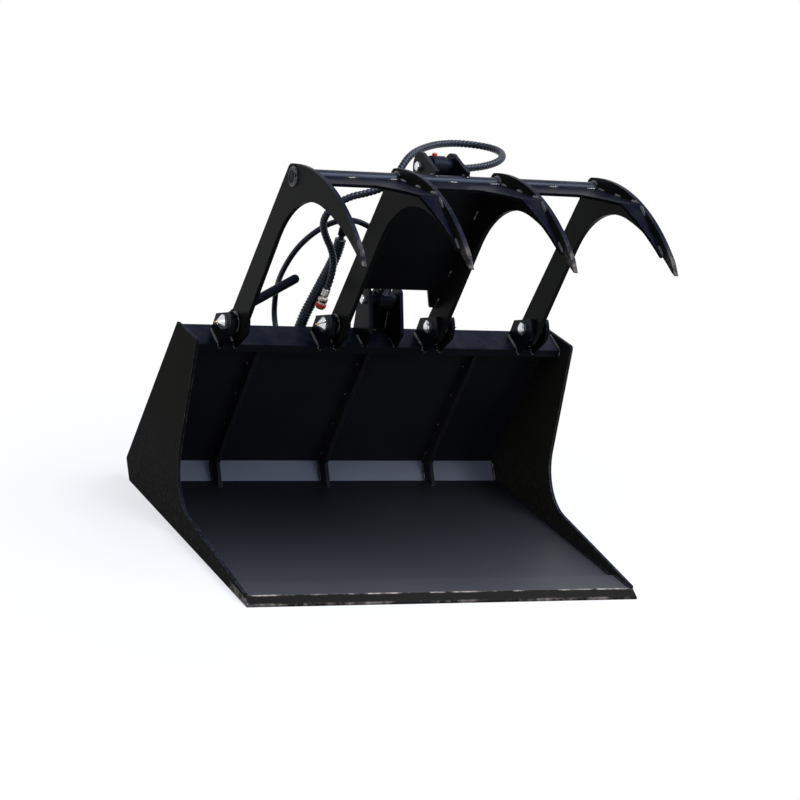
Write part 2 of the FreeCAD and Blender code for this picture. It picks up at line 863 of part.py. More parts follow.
def guard():
    """A formed plate between the middle arms that covers the cylinder, notched at its foot."""
    wall = size("guard_wall")
    face = shift(rear_foot, - size("guard_inset"), REAR_LINE - 90)
    bend = meet(face, REAR_LINE, (0, pivot[1] + size("guard_bend_rise")), 0)
    low = meet(face, REAR_LINE, (0, pivot[1] + size("guard_leg_rise")), 0)
    start = on_tube(- size("guard_tube_angle"))
    flange = heading(start, bend)
    front_flange = shift(start, wall / 2, flange - 90)
    back_flange = shift(start, wall / 2, flange + 90)
    front_face = shift(bend, wall / 2, REAR_LINE + 90)
    back_face_point = shift(bend, wall / 2, REAR_LINE - 90)
    bend_front = meet(front_flange, flange, front_face, REAR_LINE)
    bend_back = meet(back_flange, flange, back_face_point, REAR_LINE)
    low_front = shift(low, wall / 2, REAR_LINE + 90)
    low_back = shift(low, wall / 2, REAR_LINE - 90)
    on_front = line_to_tube(bend_front, flange + 180)
    on_back = line_to_tube(bend_back, flange + 180)
    corners = [on_front, bend_front, low_front, low_back, bend_back, on_back]
    body = plate_body("cylinder_guard", corners, "tine_spacing - tine_wall", {5: start})
    half = size("0.5*tine_spacing - 0.5*tine_wall")
    notch_high = pivot[1] + size("guard_low_rise")
    notch_low = low[1] - wall
    notch = [
        (half - size("guard_notch_low"), notch_low),
        (half - size("guard_notch"), notch_high),
        (half + size("guard_notch"), notch_high),
        (half + size("guard_notch_low"), notch_low),
    ]
    sketch = new_sketch(body, "cylinder_guard_notch", "XZ_Plane")
    draw_loop(sketch, notch)
    pocket = body.newObject("PartDesign::Pocket", "cylinder_guard_pocket")
    pocket.Profile = sketch
    pocket.Type = "ThroughAll"
    pocket.Midplane = True
    body.Tip = pocket
    place(body, "cylinder_guard", left="- 0.5*tine_spacing + 0.5*tine_wall")
    return bend_back, on_back, low_back


def line_to_tube(start, angle):
    """Where a line from outside first meets the tube's surface."""
    turn = math.radians(angle)
    dy = start[0] - tube_centre[0]
    dz = start[1] - tube_centre[1]
    half = dy * math.cos(turn) + dz * math.sin(turn)
    reach = -half - math.sqrt(half ** 2 - dy ** 2 - dz ** 2 + size("tube_radius") ** 2)
    return shift(start, reach, angle)


def top_ears(bend_back, on_back, low_back):
    """Two ears on the tube and the guard's back that hold the top of the cylinder."""
    radius = size("top_ear_round")
    start = on_tube(112)
    rise = (start[0], start[1] + size("top_ear_front"))
    shoulder = shift(top_pin, radius, 112)
    back = shift(top_pin, radius, -18)
    crown = shift(top_pin, radius, 47)
    guard_low = shift(bend_back, size("top_ear_low"), heading(bend_back, low_back))
    tube_low = on_back
    corners = [start, rise, shoulder, back, guard_low, bend_back, tube_low]
    vias = {2: crown, 6: on_tube(45)}
    holes = [(top_pin, "top_pin_radius")]
    for name, left in (("top_ear_left", "- top_ear_offset - 0.5*top_ear_wall"),
                       ("top_ear_right", "top_ear_offset - 0.5*top_ear_wall")):
        plate(name, corners, left, "top_ear_wall", vias, holes)


# Cylinder bracket on the rail

base_pin = (pivot[0] + size("base_pin_back"), pivot[1] + size("base_pin_rise"))


def base_bracket():
    """Two ears across the rail hold the foot of the cylinder, with a plate between them behind it."""
    radius = size("base_ear_round")
    nose = (rail_front[0] - size("base_ear_nose"), rail_front[1] + size("base_ear_nose_rise"))
    lean = heading(nose, base_pin) + math.degrees(
        math.asin(size("base_ear_front") / gap(nose, base_pin)))
    front_high = shift(base_pin, radius, lean + 60)
    top = shift(base_pin, radius, 60)
    side = shift(base_pin, radius, 0)
    rear_high = (rail_back[0], base_pin[1] - size("bracket_plate_drop"))
    corners = [rail_front, nose, front_high, side, rear_high, rail_back]
    vias = {2: top}
    holes = [(base_pin, "base_pin_radius")]
    for name, left in (("base_ear_left", "- base_ear_offset - 0.5*base_ear_wall"),
                       ("base_ear_right", "base_ear_offset - 0.5*base_ear_wall")):
        plate(name, corners, left, "base_ear_wall", vias, holes)
    wall = size("bracket_plate_wall")
    front_low = meet(rail_front, RAIL_ANGLE, (rail_back[0] - wall, 0), 90)
    behind = [rail_back, rear_high, (rear_high[0] - wall, rear_high[1]), front_low]
    width = "2*base_ear_offset - base_ear_wall"
    plate("bracket_plate", behind, "0.5*base_ear_wall - base_ear_offset", width)


def cylinder_pin(label, radius, offset, wall, centre):
    """A plain pin through two ears, with a chamfered stub outside each."""
    half = size("%s + 0.5*%s + cylinder_pin_stub" % (offset, wall))
    edge = size("cylinder_pin_edge")
    reach = size(radius)
    profile = [
        (-half, 0),
        (-half, reach - edge),
        (edge - half, reach),
        (half - edge, reach),
        (half, reach - edge),
        (half, 0),
    ]
    return turned(label, profile, centre=centre)


def spacers(label, radius, bore, offset, wall, centre):
    """Two tubes on a cylinder pin, between its ears and the cylinder's eye."""
    width = "%s - 0.5*%s - 0.5*eye_width - eye_play" % (offset, wall)
    pieces = []
    for side, left in (("left", "- %s + 0.5*%s" % (offset, wall)), ("right", "0.5*eye_width + eye_play")):
        body = ring_body(label + "_" + side, radius, bore, width, centre)
        pieces.append((body, left))
    group_at(label, pieces)


# Hydraulic cylinder, drawn along its own axis from the top pin towards the base pin

CYLINDER_AXIS = heading(top_pin, base_pin)
OUTWARDS = CYLINDER_AXIS + 90
CLOSED_LENGTH = gap(top_pin, base_pin)


def on_axis(distance, out=0.0):
    """A point down the cylinder's axis, out on its rear side."""
    return shift(shift(top_pin, distance, CYLINDER_AXIS), out, CYLINDER_AXIS + 90)


def along_cylinder(label, profile, vias=None):
    return turned(label, profile, centre=top_pin, rotation=x_to(CYLINDER_AXIS), vias=vias)


def pipe_profile(start, end, inner, outer):
    return [(start, inner), (start, outer), (end, outer), (end, inner)]


def barrel():
    outer = size("barrel_radius")
    bore = outer - size("barrel_wall")
    start = size("barrel_start")
    end = size("barrel_end")
    along_cylinder("barrel", pipe_profile(start, end, bore, outer))
    eye = round_bar("barrel_eye_ring", "barrel_eye_radius", "eye_width", "- 0.5*eye_width", top_pin)
    neck_start = on_axis(size("spacer_radius + neck_gap"))
    neck_length = "barrel_start - spacer_radius - neck_gap"
    neck = inclined_bar("barrel_neck", "barrel_radius", neck_length, neck_start, CYLINDER_AXIS)
    plug = inclined_bar("barrel_plug", "barrel_radius - barrel_wall", neck_length + " + plug_length",
                        neck_start, CYLINDER_AXIS)
    solid = fused("barrel_end_solid", [eye, neck, plug])
    bore_tool = round_bar("barrel_eye_bore", "top_pin_radius + pivot_play", "4*eye_width", "- 2*eye_width", top_pin)
    place(cut("barrel_end", solid, bore_tool), "barrel_eye")
    inner_end = end - size("gland_length")
    rod_hole = size("rod_radius + slide_play")
    collar = end + size("gland_collar")
    gland = [
        (inner_end, rod_hole),
        (inner_end, bore),
        (end, bore),
        (end, outer),
        (collar, outer),
        (collar, rod_hole),
    ]
    along_cylinder("gland", gland)


def rod():
    start = size("piston_start")
    piston_end = start + size("piston_length")
    bore = size("barrel_radius - barrel_wall - slide_play")
    along_cylinder("piston", pipe_profile(start, piston_end, size("rod_radius"), bore))
    shaft = inclined_bar("rod_shaft", "rod_radius", repr(CLOSED_LENGTH - start), on_axis(start), CYLINDER_AXIS)
    clear = round_bar("rod_eye_room", "rod_eye_radius", "4*eye_width", "- 2*eye_width", base_pin)
    place(cut("rod_cut", shaft, clear), "rod")
    ring("rod_eye", "rod_eye_radius", "rod_eye_bore", "eye_width", base_pin, "- 0.5*eye_width")


def banjo_centre(down):
    """The middle of the banjo fitting that is bolted on a port this far down the barrel."""
    return on_axis(size(down), 0.9 * size("barrel_radius") + size("port_height + 0.5*banjo_depth"))


def hose_way(down, side, tilt, distance):
    """A point of the line on which a hose leaves its fitting, in three dimensions."""
    centre = banjo_centre(down)
    turn = math.radians(size(tilt))
    up = shift(centre, distance * math.sin(turn), CYLINDER_AXIS + 180)
    return (side * distance * math.cos(turn), up[0], up[1])


def bar_between(label, radius, start, end):
    """A plain round bar between two points in three dimensions."""
    run = Vector(*end) - Vector(*start)
    bar = doc.addObject("Part::Cylinder", label)
    bind(bar, "Radius", radius)
    bar.Height = run.Length
    bar.Placement = FreeCAD.Placement(Vector(*start), FreeCAD.Rotation(Vector(0, 0, 1), run))
    return bar


# Each hose's port on the barrel, the side it leaves to, and how far it tilts up there
PORTS = {
    "upper": ("port_high", 1, "banjo_tilt_high"),
    "lower": ("port_low", -1, "banjo_tilt_low"),
}


def ports():
    """Two bosses on the rear side of the barrel, each with a banjo fitting that turns the hose aside."""
    pieces = []
    foot = 0.9 * size("barrel_radius")
    top = foot + size("port_height")
    for name, (down, side, tilt) in PORTS.items():
        distance = size(down)
        boss = inclined_bar("port_%s" % name, "port_radius", "port_height", on_axis(distance, foot), OUTWARDS)
        room = inclined_bar("port_%s_room" % name, "barrel_radius", "barrel_end", top_pin, CYLINDER_AXIS)
        pieces.append(cut("port_%s_boss" % name, boss, room))
        eye = inclined_bar("banjo_%s_eye" % name, "banjo_radius", "banjo_depth", on_axis(distance, top), OUTWARDS)
        head = inclined_bar("banjo_%s_bolt" % name, "banjo_bolt_radius", "banjo_bolt_depth",
                            on_axis(distance, top + size("banjo_depth")), OUTWARDS)
        end = hose_way(down, side, tilt, size("banjo_reach"))
        stem = bar_between("banjo_%s_stem" % name, "banjo_stem_radius", hose_way(down, side, tilt, 0.0), end)
        crimp = hose_way(down, side, tilt, size("banjo_reach - ferrule_length"))
        ferrule = bar_between("banjo_%s_ferrule" % name, "fitting_radius", crimp, end)
        pieces.append(fused("banjo_%s" % name, [eye, stem, ferrule, head]))
    group("port_fittings", pieces)


def grease_cap():
    """A capped grease nipple on top of the cylinder's upper eye."""
    radius = size("barrel_eye_radius")
    stem = size("cap_stem_length")
    sunk = 0.02 * radius
    profile = [
        (radius - sunk, 0),
        (radius - sunk, size("cap_stem_radius")),
        (radius + stem, size("cap_stem_radius")),
        (radius + stem, size("grease_cap_radius")),
        (radius + stem + 0.8 * size("grease_cap_length"), size("grease_cap_radius")),
        (radius + stem + size("grease_cap_length"), 0.6 * size("grease_cap_radius")),
        (radius + stem + size("grease_cap_length"), 0),
    ]
    body = turned_body("grease_cap_turn", profile)
    room = round_bar("grease_cap_room", "barrel_eye_radius", "2*eye_width", "- eye_width", (0, 0))
    body.Placement = FreeCAD.Placement(Vector(), x_to(90))
    place(cut("grease_cap_cut", body, room), "grease_cap", "- grease_cap_left", repr(top_pin[0]), repr(top_pin[1]))


# Tool carrier coupling on the outside of the back plate

REARWARDS = BACK_ANGLE - 90
HOOK_SPLAY = size("hook_splay")


def tool_coupling():
    """A plate with a hook flange along its top, a shelf with two lock holes and a gusset at each end."""
    inner_low = back_face(size("coupler_low"), size("back_wall"))
    inner_high = back_face(size("coupler_high"), size("back_wall"))
    wall = size("coupler_wall")
    outer_low = shift(inner_low, wall, REARWARDS)
    outer_high = shift(inner_high, wall, REARWARDS)
    left = "- 0.5*coupler_width"
    plate("coupler_plate", [inner_low, outer_low, outer_high, inner_high], left, "coupler_width")
    hook = size("hook_wall")
    under = shift(outer_high, -hook, BACK_ANGLE)
    top_out = shift(outer_high, size("hook_depth"), REARWARDS)
    drop_out = shift(top_out, - size("hook_drop"), BACK_ANGLE - HOOK_SPLAY)
    drop_in = shift(drop_out, -hook, REARWARDS - HOOK_SPLAY)
    inner_corner = meet(under, REARWARDS, drop_in, BACK_ANGLE - HOOK_SPLAY)
    corners = [outer_high, under, inner_corner, drop_in, drop_out, top_out]
    plate("coupler_hook", corners, left, "coupler_width")
    shelf_wall = size("shelf_wall")
    shelf_high = shift(outer_low, shelf_wall, BACK_ANGLE)
    depth = size("shelf_depth")
    shelf = plate_body("coupler_shelf_blank",
                       [outer_low, shift(outer_low, depth, REARWARDS), shift(shelf_high, depth, REARWARDS), shelf_high],
                       "coupler_width")
    bind(shelf, "Placement.Base.x", left)
    foot = shift(shift(outer_low, size("lock_hole_back"), REARWARDS), -shelf_wall, BACK_ANGLE)
    drills = []
    for name, sign in (("left", "-"), ("right", "+")):
        drill = inclined_bar("lock_drill_" + name, "lock_hole_radius", "3*shelf_wall", foot, BACK_ANGLE)
        bind(drill, "Placement.Base.x", "%s 0.5*lock_hole_spacing" % sign)
        drills.append(drill)
    place(cut("coupler_shelf_cut", shelf, fused("lock_drills", drills)), "coupler_shelf")
    gusset_high = shift(shelf_high, size("gusset_height"), BACK_ANGLE)
    gusset = [shelf_high, shift(shelf_high, size("shelf_depth - gusset_inset"), REARWARDS), gusset_high]
    ends = []
    for name, place_left in (("left", left), ("right", "0.5*coupler_width - gusset_wall")):
        ends.append((plate_body("coupler_gusset_" + name, gusset, "gusset_wall"), place_left))
    group_at("coupler_gussets", ends)


# Bent bars and hoses: straight runs with an arc at each point between the ends

ARC_SHARE = 0.45


def bends(points):
    """The arc's radius and length of tangent at each inner point: as large as the two runs allow."""
    found = []
    for before, corner, after in zip(points, points[1:], points[2:]):
        first = corner - before
        second = after - corner
        tangent = ARC_SHARE * min(first.Length, second.Length)
        found.append((tangent / math.tan(first.getAngle(second) / 2), tangent))
    return found


def pipe(label, points, radius):
    """A round bar of this radius along the points."""
    route = [Vector(*point) for point in points]
    edges = []
    start = route[0]
    for index, (bend_radius, tangent) in enumerate(bends(route), start=1):
        corner = route[index]
        inwards = (corner - route[index - 1]).normalize()
        outwards = (route[index + 1] - corner).normalize()
        arc_start = corner - inwards * tangent
        arc_end = corner + outwards * tangent
        half_turn = inwards.getAngle(outwards) / 2
        to_middle = (outwards - inwards).normalize() * (bend_radius / math.cos(half_turn) - bend_radius)
        edges.append(Part.LineSegment(start, arc_start).toShape())
        edges.append(Part.Arc(arc_start, corner + to_middle, arc_end).toShape())
        start = arc_end
    edges.append(Part.LineSegment(start, route[-1]).toShape())
    path = Part.Wire(edges)
    across = (route[1] - route[0]).normalize()
    section = Part.Wire([Part.makeCircle(radius, route[0], across)])
    solid = doc.addObject("Part::Feature", label + "_pipe")
    solid.Shape = path.makePipeShell([section], True, False)
    tightest = min(bend_radius for bend_radius, _ in bends(route))
    share = solid.Shape.Volume / (math.pi * radius ** 2 * path.Length)
    print("%s: length %.0f, tightest bend %.0f, volume share %.4f" % (label, path.Length, tightest, share))
    return solid


def hose_hanger():
    """A bent round bar welded behind the back plate, with a rounded end, that keeps the hoses up."""
    radius = size("hanger_radius")
    back = back_face(size("hanger_foot_height"), size("back_wall") + radius)[0]
    end = (- size("hanger_end_left"), back, size("hanger_end_height"))
    points = [
        (size("hanger_foot_inset - 0.5*jaw_width"), back, size("hanger_foot_height")),
        (size("hanger_bend_inset - 0.5*jaw_width"), back, size("hanger_bend_height")),
        end,
    ]
    bar = pipe("hose_hanger_bar", points, radius)
    ball = doc.addObject("Part::Sphere", "hanger_ball")
    bind(ball, "Radius", "hanger_radius")
    ball.Placement = FreeCAD.Placement(Vector(*end), FreeCAD.Rotation())
    place(fused("hose_hanger_solid", [bar, ball]), "hose_hanger")


# Points of each hose after the straight stretch that leaves its fitting
HOSE_POINTS = {
    "upper": [
        (146, 533, 1018),
        (196, 544, 1024),
        (243, 572, 1031),
        (274, 618, 1036),
        (281, 675, 1036),
        (255, 725, 1032),
        (204, 751, 1029),
        (147, 743, 1027),
        (94, 711, 1026),
        (41, 671, 1022),
        (-3, 630, 1012),
        (-36, 600, 981),
        (-71, 584, 943),
        (-122, 590, 921),
        (-168, 597, 908),
        (-204, 617, 874),
        (-214, 647, 826),
        (-188, 672, 778),
        (-150, 687, 728),
        (-133, 699, 672),
        (-142, 706, 618),
    ],
    "lower": [
        (-127, 635, 835),
        (-172, 670, 818),
        (-206, 716, 768),
        (-226, 758, 712),
        (-233, 798, 650),
        (-226, 842, 594),
        (-208, 887, 540),
        (-202, 888, 476),
        (-199, 846, 432),
        (-197, 786, 432),
        (-191, 743, 474),
        (-178, 744, 533),
        (-159, 743, 581),
        (-143, 736, 633),
        (-130, 724, 683),
        (-123, 714, 728),
        (-122, 708, 770),
    ],
}
HOSE_RADII = {"upper": "guarded_radius", "lower": "hose_radius"}


def coupling_profile():
    """Half section of a quick coupling: crimped ferrule, neck, body and nose, along +X."""
    ferrule = size("ferrule_length")
    length = size("coupling_length")
    neck = 0.7 * size("fitting_radius")
    body = size("coupling_radius")
    groove = 0.8 * body
    return [
        (0, 0),
        (0, size("fitting_radius")),
        (ferrule, size("fitting_radius")),
        (ferrule, neck),
        (1.25 * ferrule, neck),
        (1.25 * ferrule, body),
        (0.72 * length, body),
        (0.72 * length, groove),
        (0.78 * length, groove),
        (0.78 * length, body),
        (length, body),
        (length, 0),
    ]


def cap_profile():
    """Half section of a dust cap with a rolled rim that sits against the coupling's nose."""
    radius = size("cap_radius")
    length = size("cap_length")
    return [
        (0, 0),
        (0, radius),
        (0.3 * length, radius),
        (0.3 * length, 0.9 * radius),
        (0.85 * length, 0.84 * radius),
        (length, 0.6 * radius),
        (length, 0),
    ]


def hoses():
    """Two hoses that hang behind the back plate; each ends in a capped quick coupling."""
    couplings = []
    caps = []
    for name, (down, side, tilt) in PORTS.items():
        start = hose_way(down, side, tilt, size("banjo_reach"))
        lead = hose_way(down, side, tilt, size("banjo_reach + hose_lead"))
        route = [start, lead] + HOSE_POINTS[name]
        place(pipe("hose_" + name, route, size(HOSE_RADII[name])), "hose_" + name)
        end = Vector(*route[-1])
        direction = (end - Vector(*route[-2])).normalize()
        rotation = FreeCAD.Rotation(Vector(1, 0, 0), direction)
        coupling = turned_body("coupling_" + name, coupling_profile())
        coupling.Placement = FreeCAD.Placement(end, rotation)
        couplings.append(coupling)
        cap = turned_body("dust_cap_" + name, cap_profile())
        cap.Placement = FreeCAD.Placement(end + direction * size("coupling_length"), rotation)
        caps.append(cap)
    group("hose_couplings", couplings)
    group("dust_caps", caps)


def save_parts():
    """Checks every object, then writes one file for each sub-part."""
    doc.recompute()
    for item in doc.Objects:
        if "Invalid" in item.State or "Error" in item.State:
            raise ValueError("%s did not build: %s" % (item.Name, item.State))
    os.makedirs("parts", exist_ok=True)
    for part in parts:
        if part.Shape.isNull() or not part.Shape.isValid():
            raise ValueError(part.Label + " has no valid shape")
        part.Shape.exportStep("parts/%s.step" % part.Label)
    print("%d sub-parts written" % len(parts))


side_plates()
shell()
cutting_edge()
top_rail()
ribs()
clevis_ears()
pivot_pins()
thrust_washers()
tines()
cross_tube()
webs()
top_ears(*guard())
base_bracket()
cylinder_pin("top_pin", "top_pin_radius", "top_ear_offset", "top_ear_wall", top_pin)
cylinder_pin("base_pin", "base_pin_radius", "base_ear_offset", "base_ear_wall", base_pin)
spacers("top_spacers", "spacer_radius", "top_pin_radius", "top_ear_offset", "top_ear_wall", top_pin)
spacers("base_spacers", "base_spacer_radius", "base_pin_radius", "base_ear_offset", "base_ear_wall", base_pin)
barrel()
rod()
ports()
grease_cap()
tool_coupling()
hose_hanger()
hoses()
save_parts()
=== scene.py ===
import json
import math

import bmesh
import bpy
from mathutils import Matrix, Vector, noise
from mathutils.bvhtree import BVHTree


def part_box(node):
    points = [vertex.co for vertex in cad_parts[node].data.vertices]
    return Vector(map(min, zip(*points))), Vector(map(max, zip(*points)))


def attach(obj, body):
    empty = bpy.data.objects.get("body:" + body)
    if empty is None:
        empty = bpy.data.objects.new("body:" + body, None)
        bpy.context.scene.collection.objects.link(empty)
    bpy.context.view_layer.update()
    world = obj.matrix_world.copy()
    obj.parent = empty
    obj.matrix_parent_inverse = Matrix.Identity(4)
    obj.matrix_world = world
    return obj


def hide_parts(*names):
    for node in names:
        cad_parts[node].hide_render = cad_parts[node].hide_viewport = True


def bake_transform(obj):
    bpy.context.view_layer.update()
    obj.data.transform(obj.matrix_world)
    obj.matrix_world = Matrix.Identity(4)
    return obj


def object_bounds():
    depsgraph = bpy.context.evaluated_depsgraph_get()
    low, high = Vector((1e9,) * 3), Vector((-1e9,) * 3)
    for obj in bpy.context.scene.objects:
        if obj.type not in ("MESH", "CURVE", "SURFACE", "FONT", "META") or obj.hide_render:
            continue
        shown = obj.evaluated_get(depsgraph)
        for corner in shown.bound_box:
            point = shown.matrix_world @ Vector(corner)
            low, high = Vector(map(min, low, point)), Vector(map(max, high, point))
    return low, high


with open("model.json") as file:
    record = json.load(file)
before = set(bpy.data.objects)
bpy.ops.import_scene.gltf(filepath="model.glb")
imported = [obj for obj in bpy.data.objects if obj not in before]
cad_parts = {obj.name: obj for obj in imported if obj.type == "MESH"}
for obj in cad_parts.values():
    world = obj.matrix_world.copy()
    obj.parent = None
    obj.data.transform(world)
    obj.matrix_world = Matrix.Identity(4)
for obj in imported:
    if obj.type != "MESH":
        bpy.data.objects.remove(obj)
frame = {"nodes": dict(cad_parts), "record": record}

CAD_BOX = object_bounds()
NODES = frame["nodes"]
SETBACK = 450.0          # the origin lies this many millimetres behind the cutting edge


def at(x, y, z):
    """A point in metres from millimetres right of the middle, behind the cutting edge and above the floor."""
    return Vector((x / 1000, (y - SETBACK) / 1000, z / 1000))


# Camera at the photograph's angle

RIGHT = Vector((0.90018272, -0.40717741, 0.15452388))
DOWN = Vector((0.0227789, -0.31030411, -0.95036439))
FORWARD = Vector((0.43491631, 0.85902149, -0.27005535))
CAMERA_AT = at(-3552.5, -6490.3, 2829.9)
FOCAL_PIXELS = 3069.63
CENTRE_PIXELS = (401.84, 308.78)
FRAME_PIXELS = 800
FILM_WIDTH = 36          # millimetres
CLIP_END = 200           # metres


def make_camera():
    data = bpy.data.cameras.new("camera")
    data.sensor_width = FILM_WIDTH
    data.lens = FOCAL_PIXELS / FRAME_PIXELS * data.sensor_width
    data.shift_x = 0.5 - CENTRE_PIXELS[0] / FRAME_PIXELS
    data.shift_y = CENTRE_PIXELS[1] / FRAME_PIXELS - 0.5
    data.clip_end = CLIP_END
    camera = bpy.data.objects.new("camera", data)
    bpy.context.scene.collection.objects.link(camera)
    turn = Matrix((RIGHT, -DOWN, -FORWARD)).transposed().to_4x4()
    camera.matrix_world = Matrix.Translation(CAMERA_AT) @ turn
    bpy.context.scene.camera = camera


# Materials

SKY_TINT = (0.55, 0.7, 1.0)      # the paint's mirrored light, as under an open sky
DUST = (0.09, 0.085, 0.08)
MUD_SPECKS = (0.1, 0.095, 0.085)
SCRATCHED = (0.12, 0.13, 0.16)
# the colour of edges bared by use, which also serves as a painted highlight along them
WORN_AND_HIGHLIT_EDGE = (0.2, 0.2, 0.21)
WORN_TIP = (0.2, 0.17, 0.14)
MUD_HEIGHT = 0.3                 # mud splashes thin out up to this height
TIP_FROM, TIP_TO = -0.47, -0.545     # the tine tips are worn between these places along Y


class Paint:
    """A small helper that adds and links shader nodes."""

    def __init__(self, name):
        self.material = bpy.data.materials.new(name)
        self.material.use_nodes = True
        self.tree = self.material.node_tree
        self.shader = self.tree.nodes["Principled BSDF"]
        self.place = self.add("ShaderNodeTexCoord").outputs["Object"]

    def add(self, kind, **props):
        node = self.tree.nodes.new(kind)
        for key, value in props.items():
            setattr(node, key, value)
        return node

    def join(self, source, target):
        self.tree.links.new(source, target)

    def noise(self, scale, detail=3.0, roughness=0.5, stretch=None):
        node = self.add("ShaderNodeTexNoise")
        node.inputs["Scale"].default_value = scale
        node.inputs["Detail"].default_value = detail
        node.inputs["Roughness"].default_value = roughness
        source = self.place
        if stretch is not None:
            mapping = self.add("ShaderNodeMapping")
            mapping.inputs["Scale"].default_value = stretch
            self.join(self.place, mapping.inputs["Vector"])
            source = mapping.outputs["Vector"]
        self.join(source, node.inputs["Vector"])
        return node.outputs["Fac"]

    def spread(self, value, low, high, out_low=0.0, out_high=1.0):
        node = self.add("ShaderNodeMapRange")
        node.inputs["From Min"].default_value = low
        node.inputs["From Max"].default_value = high
        node.inputs["To Min"].default_value = out_low
        node.inputs["To Max"].default_value = out_high
        self.join(value, node.inputs["Value"])
        return node.outputs["Result"]

    def maths(self, operation, first, second):
        node = self.add("ShaderNodeMath", operation=operation)
        for socket, value in zip(node.inputs, (first, second)):
            if isinstance(value, (int, float)):
                socket.default_value = value
            else:
                self.join(value, socket)
        return node.outputs["Value"]

    def mix(self, share, first, second):
        node = self.add("ShaderNodeMix", data_type="RGBA")
        self.join(share, node.inputs["Factor"])
        for socket, value in ((node.inputs[6], first), (node.inputs[7], second)):
            if isinstance(value, tuple):
                socket.default_value = (*value, 1.0)
            else:
                self.join(value, socket)
        return node.outputs[2]

    def bevel(self, radius):
        node = self.add("ShaderNodeBevel", samples=4)
        node.inputs["Radius"].default_value = radius
        return node.outputs["Normal"]

    def edges(self, radius):
        """1 along sharp edges, 0 on flat faces."""
        geometry = self.add("ShaderNodeNewGeometry")
        dot = self.add("ShaderNodeVectorMath", operation="DOT_PRODUCT")
        self.join(self.bevel(radius), dot.inputs[0])
        self.join(geometry.outputs["Normal"], dot.inputs[1])
        return self.spread(dot.outputs["Value"], 0.995, 0.86)

    def bump(self, height, strength, distance, normal=None):
        node = self.add("ShaderNodeBump")
        node.inputs["Strength"].default_value = strength
        node.inputs["Distance"].default_value = distance
        self.join(height, node.inputs["Height"])
        if normal is not None:
            self.join(normal, node.inputs["Normal"])
        return node.outputs["Normal"]

    def split_place(self):
        node = self.add("ShaderNodeSeparateXYZ")
        self.join(self.place, node.inputs["Vector"])
        return node.outputs

    def facing_up(self):
        geometry = self.add("ShaderNodeNewGeometry")
        node = self.add("ShaderNodeSeparateXYZ")
        self.join(geometry.outputs["Normal"], node.inputs["Vector"])
        return node.outputs["Z"]

    def finish(self, colour, roughness, normal=None, metallic=0.0, specular=0.5, tint=(1.0, 1.0, 1.0)):
        if isinstance(colour, tuple):
            self.shader.inputs["Base Color"].default_value = (*colour, 1.0)
        else:
            self.join(colour, self.shader.inputs["Base Color"])
        if isinstance(roughness, float):
            self.shader.inputs["Roughness"].default_value = roughness
        else:
            self.join(roughness, self.shader.inputs["Roughness"])
        if normal is not None:
            self.join(normal, self.shader.inputs["Normal"])
        self.shader.inputs["Metallic"].default_value = metallic
        self.shader.inputs["Specular IOR Level"].default_value = specular
        self.shader.inputs["Specular Tint"].default_value = (*tint, 1.0)
        return self.material


def painted_steel(name, colour, cloudy, sky, roughness=(0.26, 0.4), wear_and_highlight=0.25, dust=0.2, specular=0.15,
                  splash=0.0, edge=0.0018, tips=0.0):
    """Glossy coat over plate: blue where it faces up, a painted sky reflection, with faint ripple, scratches,
    dust and edges that are partly bared by use and partly painted highlight.

    splash adds mud near the ground, tips bares the front ends, and edge is the reach of the edge colour,
    which is partly bared by use and partly painted highlight.
    """
    p = Paint(name)
    cloud = p.noise(3.5, 4.0, 0.55)
    grain = p.noise(420, 2.0, 0.5)
    ripple = p.noise(30, 2.0, 0.5)
    scratch = p.spread(p.noise(9, 6.0, 0.7, (1.0, 14.0, 30.0)), 0.66, 0.72)
    scratch = p.maths("MULTIPLY", scratch, p.spread(p.noise(2.2, 2.0), 0.5, 0.7))
    up = p.facing_up()
    dusty_patches = p.spread(p.noise(14, 5.0, 0.65), 0.42, 0.72)
    dirt = p.maths("MULTIPLY", p.spread(up, 0.2, 1.0, 0.0, dust), dusty_patches)
    chips = p.spread(p.noise(60, 4.0, 0.6), 0.45, 0.7, 0.1, 1.0)
    worn_and_highlit = p.maths("MULTIPLY", p.maths("MULTIPLY", p.edges(edge), chips), wear_and_highlight)
    base = p.mix(p.spread(cloud, 0.35, 0.7), colour, cloudy)
    # painted sky reflection: faces that look up take the bluer sky colour
    base = p.mix(p.spread(up, 0.15, 0.8), base, sky)
    base = p.mix(dirt, base, DUST)
    if splash:
        low = p.spread(p.split_place()["Z"], MUD_HEIGHT, 0.0, 0.0, splash)
        specks = p.spread(p.noise(90, 6.0, 0.75), 0.5, 0.68)
        base = p.mix(p.maths("MULTIPLY", low, specks), base, MUD_SPECKS)
    base = p.mix(p.maths("MULTIPLY", scratch, 0.3), base, SCRATCHED)
    # a lighter colour along sharp edges: partly bared by use, partly painted highlight
    base = p.mix(worn_and_highlit, base, WORN_AND_HIGHLIT_EDGE)
    if tips:
        point = p.spread(p.split_place()["Y"], TIP_FROM, TIP_TO, 0.0, tips)
        patches = p.spread(p.noise(45, 5.0, 0.7), 0.4, 0.6)
        base = p.mix(p.maths("MULTIPLY", point, patches), base, WORN_TIP)
    sheen = p.spread(cloud, 0.3, 0.75, *roughness)
    sheen = p.maths("ADD", sheen, p.maths("MULTIPLY", dirt, 0.25))
    normal = p.bump(ripple, 0.08, 0.002, p.bevel(0.0012))
    normal = p.bump(grain, 0.05, 0.0004, normal)
    return p.finish(base, sheen, normal, specular=specular, tint=SKY_TINT)


